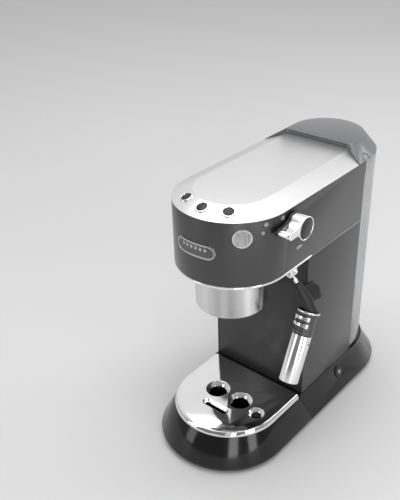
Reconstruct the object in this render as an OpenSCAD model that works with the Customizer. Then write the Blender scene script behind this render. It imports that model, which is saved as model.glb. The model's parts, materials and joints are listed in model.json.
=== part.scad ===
// A slim pump espresso machine: round-fronted head on a narrow column, flared base with a
// pull-out drip tray, steam wand on the right and a lift-out water tank at the rear.
// The origin is the centre of the base at worktop level, +Z is up, the front faces -Y
// and the steam wand is on +X.

/* [Overall] */
// Width of the base at its foot
base_w = 149; // [140:1:185]
// Depth of the base from its front tip to its rear tip
base_d = 330; // [310:1:400]
// Height from the worktop to the top of the tank lid
machine_h = 303; // [285:1:370]
// Width of the head, the column and the tank
body_w = 122; // [116:1:148]

/* [Base] */
// Height of the rubber feet
foot_h = 3; // [2:0.5:6]
// Diameter of the rubber feet
foot_d = 20; // [12:1:26]
// Height of the base above the feet
base_h = 37; // [32:1:46]
// Wall thickness of the base mouldings
base_wall = 2.2; // [1.6:0.1:3]
// How far the cup plate stands back from the front tip of the base
rim_setback = 18; // [10:1:24]
// How far the deck stands back from the rear tip of the base
deck_setback = 20; // [8:1:24]
// How far the cup plate stands out past the body on each side
rim_proud = 0.5; // [0.3:0.1:3]
// Running gap between the drip tray and the rest of the base
tray_gap = 0.4; // [0.3:0.1:1]
// Distance that the drip tray pulls out in use
tray_travel = 110; // [60:1:140]

/* [Cup plate] */
// Thickness of the steel sheet
plate_t = 1.2; // [0.8:0.1:2]
// Height of the plate's rounded shoulder
rim_h = 6.5; // [5:0.5:9]
// Width of the shoulder seen from above
rim_w = 6; // [4:0.5:9]
// Diameter of the two drain holes
drain_d = 18; // [12:0.5:22]
// Diameter of the float hole
float_hole_d = 8.5; // [6:0.5:12]
// Depth of the dished edges round the holes
dish_h = 4; // [2:0.5:5]
// Width of the dished edges round the drain holes
dish_w = 4.5; // [2:0.5:6]

/* [Head and column] */
// Distance from the front of the base to the front of the head
head_setback = 29; // [15:1:40]
// Distance that the head hangs over the drip tray
overhang = 105; // [98:1:120]
// Depth of the column from its front sheet to its rear panel
column_d = 103; // [98:1:118]
// Height of the head's side band
head_band = 69; // [60:1:84]
// Height of the bright trim under the band
trim_h = 2.5; // [1.5:0.1:4]
// Height of the bevel round the cup warmer
bevel_h = 8; // [5:0.5:10]
// Width of the bevel round the cup warmer
bevel_w = 21; // [18:0.5:25]
// Sheet thickness of the casings
shell_t = 1.5; // [1:0.1:2]

/* [Group] */
// Diameter of the bright group ring
group_d = 74.8; // [72:0.1:92]
// How far the group hangs below the head
group_drop = 48; // [44:1:58]
// Diameter of the bore that takes a filter holder
filter_bore_d = 63; // [54:0.1:66]
// Depth of the retaining lip in the bore
filter_lip_h = 6; // [4:0.5:8]

/* [Controls] */
// Diameter of the buttons on the bevel
button_d = 10; // [8:0.1:12]
// Travel of the buttons
button_travel = 1.2; // [0.6:0.1:2]
// Diameter of the power button
power_d = 14; // [11:0.5:17]
// Diameter of the steam dial
dial_d = 24; // [18:0.5:26]
// Distance from the head to the outer face of the dial
dial_out = 18; // [14:0.5:24]
// Length of the dial's lever from its axis
lever_l = 28; // [20:0.5:32]

/* [Steam wand] */
// Outside diameter of the steam pipe
pipe_d = 6; // [5:0.5:7]
// Outside diameter of the frothing sleeve
sleeve_d = 21; // [18:0.1:25]
// Length of the frothing sleeve
sleeve_l = 52; // [40:1:62]
// Length of the collar above the sleeve
collar_l = 26; // [22:1:32]
// Forward tilt of the frother
frother_tilt = 25; // [10:1:32]
// Distance that the sleeve pulls off
sleeve_travel = 36; // [20:1:40]

/* [Water tank] */
// Distance from the rear tip of the tank to the rear tip of the base
rear_margin = 25.5; // [22:0.5:40]
// Wall thickness of the tank
tank_wall = 2; // [1.5:0.1:3]
// Height of the lid above the cup warmer
lid_step = 6; // [4:0.5:9]
// Distance that the tank is lifted to take it out
tank_travel = 60; // [30:1:90]
// Radial clearance of the hinge pins in their bores
pin_gap = 0.05; // [0.02:0.01:0.1]

/* [Hidden] */

// Small overlap that keeps cuts clean
eps = 0.1;
// Gap between neighbouring casings
seam = 0.3;

// Main places along the depth
front_y = -base_d / 2;
rear_y = base_d / 2;
body_r = body_w / 2;
head_y = front_y + head_setback;
head_c = head_y + body_r;
column_y = head_y + overhang;
tank_tip = rear_y - rear_margin;
tank_c = tank_tip - body_r;
back_y = column_y + column_d;

// Main heights
deck_z = foot_h + base_h;
top_z = machine_h - lid_step;
shoulder_z = top_z - bevel_h;
band_z = shoulder_z - head_band;
under_z = band_z - trim_h;
group_z = under_z - group_drop;

$fn = 72;

// ---------------------------------------------------------------- shared shapes

// A long outline with round ends, from the tip at y1 to the tip at y2
module pill(r, y1, y2) {
    translate([0, y1 + r])
        circle(r = r);
    translate([0, y2 - r])
        circle(r = r);
    translate([-r, y1 + r])
        square([2 * r, y2 - y1 - 2 * r]);
}

// The head's outline: round at the front, square at y2
module arch(r, y2) {
    intersection() {
        union() {
            translate([0, head_c])
                circle(r = r);
            translate([-r, head_c])
                square([2 * r, y2 - head_c]);
        }
        translate([-r - 1, head_c - r - 1])
            square([2 * r + 2, y2 - head_c + r + 1]);
    }
}

// The tank's outline: flat at y1, round at the rear
module bow(r, y1) {
    intersection() {
        union() {
            translate([0, tank_c])
                circle(r = r);
            translate([-r, y1])
                square([2 * r, max(tank_c - y1, eps)]);
        }
        translate([-r - 1, y1])
            square([2 * r + 2, tank_c + r + 1 - y1]);
    }
}

// Carries its children up to z and makes them h tall
module slab(z, h) {
    translate([0, 0, z])
        linear_extrude(h)
            children();
}

// A rod from a to b with the radius r
module rod(a, b, r) {
    d = b - a;
    l = norm(d);
    translate(a)
        rotate([0, acos(d[2] / l), atan2(d[1], d[0])])
            cylinder(h = l, r = r);
}

// A bent tube's outside: rods joined by balls that are a touch larger
module bent(points, r) {
    for (i = [0 : len(points) - 2])
        rod(points[i], points[i + 1], r);
    for (i = [1 : 1 : len(points) - 2])
        translate(points[i])
            sphere(r = r + 0.15, $fn = 32);
}

// A rigid tube's outside: rods joined by square elbow fittings
module elbowed(points, r) {
    for (i = [0 : len(points) - 2])
        rod(points[i], points[i + 1], r);
    for (i = [1 : 1 : len(points) - 2])
        translate(points[i])
            cube(2 * r + 1.2, center = true);
}

// ---------------------------------------------------------------- base

base_r = base_w / 2;
rim_r = body_r + rim_proud;
rim_y1 = front_y + rim_setback;
rim_y2 = rear_y - deck_setback;
// Height at which the skirt ends and the rim begins
skirt_z = deck_z - 4;
// The skirt turns in a little under its widest line
tuck_h = 4;
tuck_in = 1.5;
// The seam between the drip tray and the base leans forward at the top
seam_lean = 0.3;
seam_front = column_y - 5.7;
rim_top = skirt_z + rim_h;

function seam_y(z) = seam_front + (rim_top - z) * seam_lean;

// The flared solid of the whole base, shrunk by inset
module skirt(inset) {
    hull($fn = 64) {
        slab(foot_h, 0.01)
            pill(base_r - tuck_in - inset, front_y + tuck_in + inset, rear_y - tuck_in - inset, $fn = 64);
        slab(foot_h + tuck_h, 0.01)
            pill(base_r - inset, front_y + inset, rear_y - inset, $fn = 64);
        slab(skirt_z - 0.01, 0.01)
            pill(rim_r - inset, rim_y1 + inset, rim_y2 - inset, $fn = 64);
    }
}

// Everything in front of the leaning seam, less a gap
module ahead(gap) {
    rotate([90, 0, 90])
        translate([0, 0, -base_w])
            linear_extrude(2 * base_w)
                polygon([
                    [front_y - 20, -1],
                    [seam_y(-1) - gap, -1],
                    [seam_y(deck_z + 20) - gap, deck_z + 20],
                    [front_y - 20, deck_z + 20]
                ]);
}

// Where the power button sits: halfway up the flank of the skirt, square to it
flank_angle = atan2(base_r - rim_r, skirt_z - foot_h - tuck_h);
power_y = column_y + 73;
power_z = foot_h + 24;
power_x = rim_r + (skirt_z - power_z) * tan(flank_angle);

module on_flank() {
    translate([power_x, power_y, power_z])
        rotate([0, 90 - flank_angle, 0])
            children();
}

// The cord leaves at the rear, low on the centre line
cord_z = foot_h + 15;
cord_hole_r = 3.6;
gland_r = 6;
gland_l = 17;
cord_y = rear_y - (deck_setback * (cord_z - foot_h - tuck_h)) / (skirt_z - foot_h - tuck_h);

foot_x = base_r - 27;
foot_front = front_y + 60;
foot_rear = rear_y - 55;
foot_places = [
    [foot_x, foot_front],
    [-foot_x, foot_front],
    [foot_x, foot_rear],
    [-foot_x, foot_rear],
    [0, 0]
];
base_plate_t = 2.5;
base_plate_in = 6;
screw_r = 1.6;
screw_places = [
    [base_r - 17, column_y + 30],
    [-base_r + 17, column_y + 30],
    [base_r - 17, rear_y - 85],
    [-base_r + 17, rear_y - 85]
];
tongue_top = foot_h + base_plate_t;
// Opening in the deck under the column, for the pump, the hoses and the wires
well_x = body_r - 24;
well_y1 = column_y + 10;
well_y2 = back_y - 8;
// Place of the tank's outlet
outlet_y = tank_c + 22;

module base_shell() {
    color([0.05, 0.05, 0.055])
        difference() {
            union() {
                skirt(0);
                slab(skirt_z - eps, deck_z - skirt_z + eps)
                    pill(rim_r, rim_y1, rim_y2);
            }
            ahead(0);
            difference() {
                union() {
                    skirt(base_wall);
                    slab(foot_h - 1, tongue_top - foot_h + 1 + tray_gap)
                        pill(base_r - base_plate_in + seam, front_y, rear_y - base_plate_in + seam);
                }
                ahead(-base_wall);
                for (p = screw_places)
                    translate([p[0], p[1], tongue_top])
                        cylinder(h = deck_z - tongue_top, r = 4);
            }
            translate([-well_x, well_y1, skirt_z - 6])
                cube([2 * well_x, well_y2 - well_y1, 20]);
            on_flank()
                translate([0, 0, -8])
                    cylinder(h = 20, r = power_d / 2 + 0.25);
            translate([0, cord_y - 12, cord_z])
                rotate([-90, 0, 0])
                    cylinder(h = 30, r = gland_r);
            for (p = screw_places)
                translate([p[0], p[1], 0])
                    cylinder(h = tongue_top + 14, r = screw_r - 0.2);
            // the base plate's tongue runs out under the front wall
            translate([-base_r + base_plate_in - seam, seam_front, foot_h - 1])
                cube([2 * (base_r - base_plate_in + seam), 20, tongue_top - foot_h + 1 + tray_gap]);
            translate([0, outlet_y, skirt_z - 6])
                cylinder(h = 20, r = 7);
        }
}

module base_plate() {
    color([0.12, 0.12, 0.13])
        difference() {
            slab(foot_h, base_plate_t)
                pill(base_r - base_plate_in, front_y + base_plate_in + 6, rear_y - base_plate_in);
            for (p = foot_places)
                translate([p[0], p[1], 0])
                    cylinder(h = 20, r = 3);
            for (p = screw_places)
                translate([p[0], p[1], 0])
                    cylinder(h = 20, r = screw_r + 0.15);
            for (i = [-3 : 3])
                translate([i * 9 - 2, 55, 0])
                    cube([4, 40, 20]);
        }
}

module rubber_feet() {
    color([0.09, 0.09, 0.09])
        for (p = foot_places)
            translate([p[0], p[1], 0]) {
                cylinder(h = foot_h, r = foot_d / 2);
                cylinder(h = tongue_top, r = 3);
            }
}

module base_screws() {
    color([0.6, 0.6, 0.62])
        for (p = screw_places)
            translate([p[0], p[1], foot_h - 1.6]) {
                difference() {
                    cylinder(h = 1.6, r = 3);
                    translate([0, 0, -1])
                        cylinder(h = 1.8, r = 1.3, $fn = 6);
                }
                cylinder(h = base_plate_t + 11, r = screw_r - 0.2);
            }
}

tray_floor = tongue_top + 0.3;

module drip_tray() {
    color([0.05, 0.05, 0.055])
        difference() {
            intersection() {
                skirt(0);
                ahead(tray_gap);
            }
            // the hollow that holds the water
            intersection() {
                difference() {
                    skirt(base_wall);
                    slab(0, tray_floor + base_wall)
                        pill(base_r + 1, front_y - 1, rear_y + 1);
                }
                ahead(tray_gap + base_wall);
            }
            slab(skirt_z - 3, 5)
                intersection() {
                    pill(rim_r - base_wall, rim_y1 + base_wall, rim_y2);
                    translate([-base_w, front_y])
                        square([2 * base_w, seam_y(skirt_z) - tray_gap - base_wall - front_y]);
                }
            // the pocket under the floor that slides over the tongue of the base plate
            slab(foot_h - 1, tray_floor - foot_h + 1)
                pill(base_r - base_plate_in + seam, front_y + base_plate_in + 5, rear_y);
        }
}

float_x = 42;
float_y = head_c - 16;
drain_x = 16;
drain_y = head_c - 11;
slot_l = 34;
slot_y = head_c - 35;
slot_r = 2.3;
slot_edge = 2.6;
plate_z = rim_top;
pan_c = rim_y1 + rim_r;

// The dished edge of a round hole, as a solid ring
module dish(r, w) {
    rotate_extrude()
        polygon([[r + w, 0], [r, -dish_h], [r + plate_t, -dish_h - 0.4], [r + w + plate_t, -plate_t]]);
}

// The same dish as a cut
module dish_cut(r, w) {
    translate([0, 0, -dish_h])
        cylinder(h = dish_h, r1 = r, r2 = r + w);
    translate([0, 0, -dish_h - 2])
        cylinder(h = dish_h + 2, r = r);
    cylinder(h = 1, r = r + w);
}

// A long dished slot as a solid, l long between its centres, with the side s of its dish
module slot_solid(l, r, w, h) {
    for (s = [-1, 1])
        translate([s * l / 2, 0, -h])
            cylinder(h = h, r1 = r, r2 = r + w);
    rotate([90, 0, 90])
        translate([0, 0, -l / 2])
            linear_extrude(l)
                polygon([[-r, -h], [r, -h], [r + w, 0], [-r - w, 0]]);
}

// Half of the pan's cross-section, shrunk by inset, from the centre line outwards
module pan_half(inset) {
    r = rim_r - inset;
    h = rim_h - inset;
    polygon([
        [0, 0],
        [r, 0],
        [r, 2],
        [r - rim_w * 0.14, rim_h * 0.6 - inset],
        [r - rim_w * 0.42, h - 0.9],
        [r - rim_w, h],
        [0, h]
    ]);
}

// The solid of the pan with its round front, shrunk by inset
module pan_solid(inset) {
    translate([0, pan_c, skirt_z]) {
        rotate_extrude()
            pan_half(inset);
        rotate([90, 0, 180])
            linear_extrude(seam_front - pan_c + 6) {
                pan_half(inset);
                mirror([1, 0])
                    pan_half(inset);
            }
    }
}

module at_hole(x, y) {
    translate([x, y, plate_z])
        children();
}

module cup_plate() {
    slot_c = slot_l - 2 * (slot_r + slot_edge);
    color([0.82, 0.82, 0.83])
        intersection() {
            translate([-base_w, front_y, 0])
                cube([2 * base_w, seam_front - tray_gap - front_y, machine_h]);
            difference() {
                union() {
                    difference() {
                        pan_solid(0);
                        translate([0, 0, -0.01])
                            pan_solid(plate_t);
                    }
                    for (s = [-1, 1])
                        at_hole(s * drain_x, drain_y)
                            dish(drain_d / 2, dish_w);
                    at_hole(float_x, float_y)
                        dish(float_hole_d / 2, dish_w);
                    at_hole(0, slot_y)
                        slot_solid(slot_c, slot_r + plate_t, slot_edge, dish_h);
                }
                for (s = [-1, 1])
                    at_hole(s * drain_x, drain_y)
                        dish_cut(drain_d / 2, dish_w);
                at_hole(float_x, float_y)
                    dish_cut(float_hole_d / 2, dish_w);
                at_hole(0, slot_y)
                    translate([0, 0, 0.01])
                        slot_solid(slot_c, slot_r, slot_edge, dish_h + 0.02);
            }
        }
}

float_r = float_hole_d / 2 - 0.3;
float_disc_r = 9;
float_disc_h = 9;
// How far the water lifts the float, and how deep its tip stands below the plate when the tray is empty
float_travel = 6;
float_low = 2;

module level_float() {
    color([0.1, 0.1, 0.1])
        translate([float_x, float_y, 0]) {
            translate([0, 0, tray_floor + base_wall])
                cylinder(h = float_disc_h, r = float_disc_r);
            translate([0, 0, tray_floor + base_wall])
                cylinder(h = plate_z - float_low - tray_floor - base_wall, r = float_r);
        }
}

// The power button goes in and out by this much, and is this deep inside the skirt
power_travel = 1.2;
power_in = 5;
switch_h = 8.6;

module power_button() {
    color([0.1, 0.1, 0.1])
        on_flank()
            translate([0, 0, -power_in])
                cylinder(h = power_in + power_travel, r = power_d / 2 - 0.05);
}

module power_switch() {
    color([0.15, 0.15, 0.16])
        on_flank()
            translate([-6, -6, -power_in - power_travel - 0.2 - switch_h])
                cube([12, 12, switch_h]);
}

module cord_gland() {
    color([0.06, 0.06, 0.06])
        translate([0, cord_y - 12, cord_z])
            rotate([-90, 0, 0])
                difference() {
                    union() {
                        cylinder(h = gland_l, r = gland_r);
                        cylinder(h = 3, r = gland_r + 1.4);
                    }
                    translate([0, 0, -1])
                        cylinder(h = 20, r = cord_hole_r);
                }
}

// ---------------------------------------------------------------- frame and casings

frame_x = body_r - 9;
frame_t = 1.5;
shelf_z = band_z + 3;
shelf_front = head_c - 42;
group_y = head_y + 56;
neck_r = group_d / 2 - 1.9;
bolt_ring_r = neck_r + 3.4;
bolt_r = 1.6;

module inner_frame() {
    color([0.55, 0.56, 0.58])
        difference() {
            union() {
                // upright sheet in front of the rear panel
                translate([-frame_x, back_y - 7, deck_z])
                    cube([2 * frame_x, frame_t, shelf_z - deck_z + frame_t]);
                // shelf that carries the group and the boiler
                slab(shelf_z, frame_t)
                    intersection() {
                        translate([-frame_x, shelf_front])
                            square([2 * frame_x, back_y - 7 + frame_t - shelf_front]);
                        arch(body_r - shell_t - 1, back_y);
                    }
                // feet on the deck
                for (s = [-1, 1])
                    translate([s * (frame_x - 6) - 6, column_y + 4, deck_z])
                        cube([12, back_y - 7 - column_y - 4 + frame_t, frame_t]);
                // front legs behind the column front
                for (s = [-1, 1])
                    translate([s * (frame_x - 4) - 4, column_y + 4, deck_z])
                        cube([8, frame_t, shelf_z - deck_z + frame_t]);
            }
            translate([0, group_y, shelf_z - 1]) {
                cylinder(h = 5, r = neck_r + 0.4);
                for (a = [45 : 90 : 315])
                    rotate([0, 0, a])
                        translate([bolt_ring_r, 0, 0])
                            cylinder(h = 5, r = bolt_r);
            }
            translate([-28, column_y + 22, shelf_z - 1])
                cube([66, 48, 5]);
            translate([wand_x - 8.2, wand_y - 8.2, shelf_z - 1])
                cube([30, 16.4, 5]);
            for (i = [0 : 4])
                translate([-22, back_y - 9, deck_z + 90 + 14 * i])
                    cube([44, 5, 5]);
        }
}

module column_front() {
    color([0.17, 0.17, 0.18])
        translate([-body_r + shell_t + seam, column_y, deck_z])
            cube([2 * (body_r - shell_t - seam), 2, under_z - seam - deck_z]);
}

// One side of the column: a flat sheet with a folded edge at the rear
module side_panel() {
    translate([body_r - shell_t, column_y, deck_z])
        cube([shell_t, back_y - column_y, under_z - seam - deck_z]);
    translate([body_r - 7, back_y - 2 * shell_t - seam, deck_z])
        cube([7, shell_t, under_z - seam - deck_z]);
}

module side_panel_right() {
    color([0.27, 0.27, 0.28])
        side_panel();
}

module side_panel_left() {
    color([0.27, 0.27, 0.28])
        mirror([1, 0, 0])
            side_panel();
}

module rear_panel() {
    color([0.08, 0.08, 0.09])
        difference() {
            translate([-body_r + shell_t + seam, back_y - shell_t, deck_z])
                cube([2 * (body_r - shell_t - seam), shell_t, shoulder_z - 0.5 - deck_z]);
            for (i = [0 : 5])
                translate([-30, back_y - shell_t - 1, band_z + 16 + 6 * i])
                    cube([60, shell_t + 2, 2.4]);
        }
}

dial_y = head_c + 9;
dial_z = shoulder_z - 16;
// Hole in the head's side for the dial's spindle
dial_hole_r = 6;

module head_shell() {
    color([0.27, 0.27, 0.28])
        difference() {
            slab(band_z, head_band - 0.05)
                difference() {
                    arch(body_r, back_y);
                    arch(body_r - shell_t, back_y + 5);
                }
            translate([0, dial_y, dial_z])
                rotate([0, 90, 0])
                    cylinder(h = body_w, r = dial_hole_r);
        }
}

trim_end = column_y + 5;

module head_trim() {
    color([0.82, 0.82, 0.83])
        slab(under_z, trim_h - 0.05)
            difference() {
                arch(body_r + 0.3, trim_end);
                arch(body_r - shell_t, trim_end + 5);
            }
}

strip_t = 1.6;
strip_proud = 0.25;

module seam_strips() {
    color([0.35, 0.35, 0.36])
        for (s = [-1, 1])
            translate([s * (body_r + strip_proud - strip_t / 2) - strip_t / 2, trim_end + seam, under_z])
                cube([strip_t, back_y - 2 - trim_end - seam, trim_h - 0.05]);
}

module head_floor() {
    color([0.06, 0.06, 0.065])
        difference() {
            slab(under_z, 2.2)
                arch(body_r - shell_t - seam, column_y + 2);
            translate([0, group_y, under_z - 1])
                cylinder(h = 5, r = group_d / 2 + 0.3);
            translate([wand_x, wand_y, under_z - 1])
                cylinder(h = 5, r = wand_stub_r + 0.5);
        }
}

plate_back = back_y - 1;
ear_drop = 13;

// The cup warmer's outline cut: straight across the flat, slanting forward over the bevels
module behind_plate(gap) {
    linear_extrude(60)
        polygon([
            [-body_r - 5, plate_back - ear_drop - gap - 5 * ear_drop / bevel_w],
            [-body_r + bevel_w, plate_back - gap],
            [body_r - bevel_w, plate_back - gap],
            [body_r + 5, plate_back - ear_drop - gap - 5 * ear_drop / bevel_w],
            [body_r + 5, tank_tip + 20],
            [-body_r - 5, tank_tip + 20]
        ]);
}

// A domed solid with the bevel all round, r wide at its foot
module bevelled(r, top_r, h) {
    translate([0, head_c, 0])
        cylinder(h = h, r1 = r, r2 = top_r, $fn = 128);
    translate([0, plate_back + 5, 0])
        rotate([90, 0, 0])
            linear_extrude(plate_back + 5 - head_c)
                polygon([[-r, 0], [r, 0], [top_r, h], [-top_r, h]]);
}

// The buttons stand square to the bevel on a circle round the head's centre
bevel_angle = atan2(bevel_h, bevel_w);
// How far up the bevel the buttons stand, as a share of it
button_up = 0.62;
button_ring_r = body_r - bevel_w * button_up;
button_z = shoulder_z + bevel_h * button_up;
// Metal of a button's ring outside its bore
ring_wall = 1.95;
button_step = 32.5;

module at_button(i) {
    translate([0, head_c, button_z])
        rotate([0, 0, i * button_step])
            translate([0, -button_ring_r, 0])
                rotate([bevel_angle, 0, 0])
                    children();
}

module cup_warmer() {
    color([0.86, 0.86, 0.86])
        difference() {
            translate([0, 0, shoulder_z])
                bevelled(body_r, body_r - bevel_w, bevel_h);
            translate([0, 0, shoulder_z - 0.01])
                bevelled(body_r - 3.6, body_r - bevel_w - 0.5, bevel_h - shell_t);
            translate([0, 0, shoulder_z - 10])
                behind_plate(seam);
            for (i = [-1 : 1])
                at_button(i)
                    translate([0, 0, -6])
                        cylinder(h = 12, r = button_d / 2 + ring_wall + 0.05);
        }
}

module name_badge() {
    badge_l = 46;
    badge_h = 15;
    color([0.75, 0.75, 0.76])
        intersection() {
            translate([0, 0, band_z + 12])
                difference() {
                    translate([0, head_c, 0])
                        cylinder(h = head_band - 20, r = body_r + 1, $fn = 128);
                    translate([0, head_c, -1])
                        cylinder(h = head_band, r = body_r + 0.01, $fn = 128);
                }
            translate([0, head_y + 30, band_z + 35.5])
                rotate([90, 0, 0])
                    linear_extrude(60) {
                        for (s = [-1, 1])
                            translate([s * (badge_l - badge_h) / 2, 0])
                                circle(r = badge_h / 2);
                        square([badge_l - badge_h, badge_h - 0.02], center = true);
                    }
        }
}

module round_badge() {
    color([0.8, 0.8, 0.8])
        intersection() {
            translate([0, head_c, band_z])
                difference() {
                    cylinder(h = head_band - 5, r = body_r + 0.4, $fn = 128);
                    translate([0, 0, -1])
                        cylinder(h = head_band, r = body_r + 0.01, $fn = 128);
                }
            translate([0, head_c, shoulder_z - 16.5])
                rotate([90, 0, 45.5])
                    cylinder(h = 80, r = 9.5);
        }
}

module button_rings() {
    color([0.82, 0.82, 0.83])
        for (i = [-1 : 1])
            at_button(i)
                difference() {
                    translate([0, 0, -5])
                        cylinder(h = 5.9, r = button_d / 2 + ring_wall);
                    translate([0, 0, -6])
                        cylinder(h = 9, r = button_d / 2 + 0.2);
                }
}

module button(i) {
    color([0.1, 0.1, 0.11])
        at_button(i) {
            translate([0, 0, -4.4])
                cylinder(h = 4.9, r = button_d / 2);
            translate([0, 0, -7])
                cylinder(h = 3, r = 2);
        }
}

module button_left() {
    button(-1);
}

module button_middle() {
    button(0);
}

module button_right() {
    button(1);
}

board_z = shoulder_z - 9;

module button_board() {
    color([0.1, 0.35, 0.2])
        slab(board_z, 1.6)
            difference() {
                intersection() {
                    translate([0, head_c])
                        circle(r = body_r - shell_t - 0.1);
                    translate([-38, head_y])
                        square([76, 26]);
                }
                translate([0, group_y])
                    circle(r = 31);
            }
}

// ---------------------------------------------------------------- brewing group

lug_w = 14;
groove_h = 6.5;
bore_r = filter_bore_d / 2;
lug_r = bore_r + 2.2;
pocket_z = group_z + 1.6 + filter_lip_h + groove_h;
ceiling_z = pocket_z + 10;
flange_top = shelf_z + frame_t + 5;

module group_ring() {
    color([0.84, 0.84, 0.85])
        translate([0, group_y, 0])
            difference() {
                translate([0, 0, group_z])
                    cylinder(h = under_z + 1 - group_z, r = group_d / 2);
                translate([0, 0, group_z + 1.4])
                    cylinder(h = group_drop + 5, r = neck_r + 0.1);
                translate([0, 0, group_z - 1])
                    cylinder(h = 5, r = lug_r + 0.4);
            }
}

module group_head() {
    color([0.6, 0.61, 0.62])
        translate([0, group_y, 0])
            difference() {
                union() {
                    translate([0, 0, group_z + 1.6])
                        cylinder(h = shelf_z + frame_t + 1 - group_z - 1.6, r = neck_r);
                    translate([0, 0, shelf_z + frame_t])
                        cylinder(h = 5, r = neck_r + 7);
                }
                // bore for the filter holder
                translate([0, 0, group_z])
                    cylinder(h = ceiling_z - group_z, r = bore_r);
                // groove in which the lugs turn
                translate([0, 0, group_z + 1.6 + filter_lip_h])
                    cylinder(h = groove_h, r = lug_r);
                // three ways in for the lugs
                for (a = [90, 210, 330])
                    rotate([0, 0, a])
                        translate([0, -lug_w / 2, group_z])
                            cube([lug_r, lug_w, filter_lip_h + 2]);
                // hollow above the shower screen, and the hot water way
                translate([0, 0, ceiling_z - 1])
                    cylinder(h = 4, r = 20);
                cylinder(h = flange_top + 5, r = 1.6);
                for (a = [45 : 90 : 315])
                    rotate([0, 0, a])
                        translate([bolt_ring_r, 0, 0])
                            cylinder(h = flange_top + 5, r = bolt_r + 0.1);
            }
}

module group_gasket() {
    color([0.12, 0.12, 0.12])
        translate([0, group_y, ceiling_z - 8])
            difference() {
                cylinder(h = 8, r = bore_r - 0.1);
                translate([0, 0, -1])
                    cylinder(h = 10, r = bore_r - 4.4);
            }
}

screen_r = bore_r - 5;

module shower_screen() {
    color([0.8, 0.8, 0.81])
        translate([0, group_y, ceiling_z - 5])
            difference() {
                cylinder(h = 5, r = screen_r);
                translate([0, 0, 1])
                    cylinder(h = 5, r = screen_r - 1);
                translate([0, 0, -1])
                    cylinder(h = 5, r = 2.6);
                for (k = [1 : 3])
                    for (j = [0 : 6 * k - 1])
                        rotate([0, 0, j * 60 / k])
                            translate([4.5 + 5.2 * k, 0, -1])
                                cylinder(h = 4, r = 0.9);
            }
}

module shower_screw() {
    color([0.75, 0.75, 0.76])
        translate([0, group_y, ceiling_z - 5])
            difference() {
                union() {
                    translate([0, 0, -2])
                        cylinder(h = 2, r = 5);
                    cylinder(h = 4.9, r = 2.5);
                }
                translate([-4, -0.6, -3])
                    cube([8, 1.2, 2]);
            }
}

module group_bolts() {
    color([0.7, 0.7, 0.71])
        for (a = [45 : 90 : 315])
            translate([0, group_y, 0])
                rotate([0, 0, a])
                    translate([bolt_ring_r, 0, 0]) {
                        translate([0, 0, flange_top])
                            cylinder(h = 3, r = 3);
                        translate([0, 0, shelf_z + 0.2])
                            cylinder(h = flange_top - shelf_z, r = bolt_r);
                    }
}

boiler_w = 2 * (body_r - 24);
boiler_l = 58;
boiler_h = 26;
boiler_y = group_y - boiler_l / 2;

module boiler() {
    color([0.66, 0.67, 0.68])
        difference() {
            union() {
                translate([-boiler_w / 2 + 8, boiler_y + 8, flange_top])
                    cube([boiler_w - 16, boiler_l - 16, boiler_h]);
                for (i = [0 : 4])
                    translate([-boiler_w / 2, boiler_y, flange_top + 3.4 + i * (boiler_h - 6) / 4])
                        cube([boiler_w, boiler_l, 2.6]);
            }
            for (a = [45 : 90 : 315])
                translate([0, group_y, flange_top - 1])
                    rotate([0, 0, a])
                        translate([bolt_ring_r, 0, 0])
                            cylinder(h = 60, r = 4.4);
        }
}

module boiler_sensor() {
    color([0.2, 0.2, 0.21])
        translate([0, group_y + 6, flange_top + boiler_h]) {
            cylinder(h = 2, r = 8);
            translate([0, 0, 2])
                cylinder(h = 5, r = 6);
            translate([-12, -3, 0])
                cube([24, 6, 1.2]);
        }
}

valve_x = -12;
valve_y = column_y + 2;
valve_z = shelf_z + frame_t;

module relief_valve() {
    color([0.72, 0.6, 0.32])
        translate([valve_x, valve_y, valve_z]) {
            translate([-9, 0, 0])
                cube([18, 16, 24]);
            translate([0, 8, 24])
                cylinder(h = 10, r = 7);
            translate([0, 8, 34])
                cylinder(h = 6, r = 3, $fn = 6);
        }
}

pump_x = -14;
pump_y = column_y + 48;
pump_z = deck_z + 40;
pump_l = 96;

module pump() {
    color([0.62, 0.63, 0.65])
        translate([pump_x, pump_y, pump_z]) {
            cylinder(h = 20, r = 14);
            translate([-19, -19, 20])
                cube([38, 38, 44]);
            translate([0, 0, 64])
                cylinder(h = 18, r = 14);
            translate([0, 0, 82])
                cylinder(h = pump_l - 82, r = 5);
            translate([0, 0, -8])
                cylinder(h = 8, r = 5);
        }
}

module pump_mounts() {
    color([0.1, 0.1, 0.1])
        for (z = [6, 68])
            translate([pump_x, pump_y, pump_z + z])
                difference() {
                    union() {
                        cylinder(h = 8, r = 19);
                        translate([-8, 0, 0])
                            cube([16, back_y - 7 - pump_y, 8]);
                    }
                    translate([0, 0, -1])
                        cylinder(h = 10, r = 14.05);
                }
}

meter_x = 26;
meter_y = back_y - 32;
meter_z = deck_z + 6;

module flow_meter() {
    color([0.85, 0.85, 0.82])
        translate([meter_x, meter_y, meter_z]) {
            cylinder(h = 16, r = 15);
            translate([-6, 10, 4])
                cube([12, back_y - 17 - meter_y, 8]);
            translate([-22, 0, 8])
                rotate([0, 90, 0])
                    cylinder(h = 10, r = 3.2);
            translate([0, 0, 16])
                cylinder(h = 8, r = 3.2);
        }
}

hose_r = 3.4;

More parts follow.
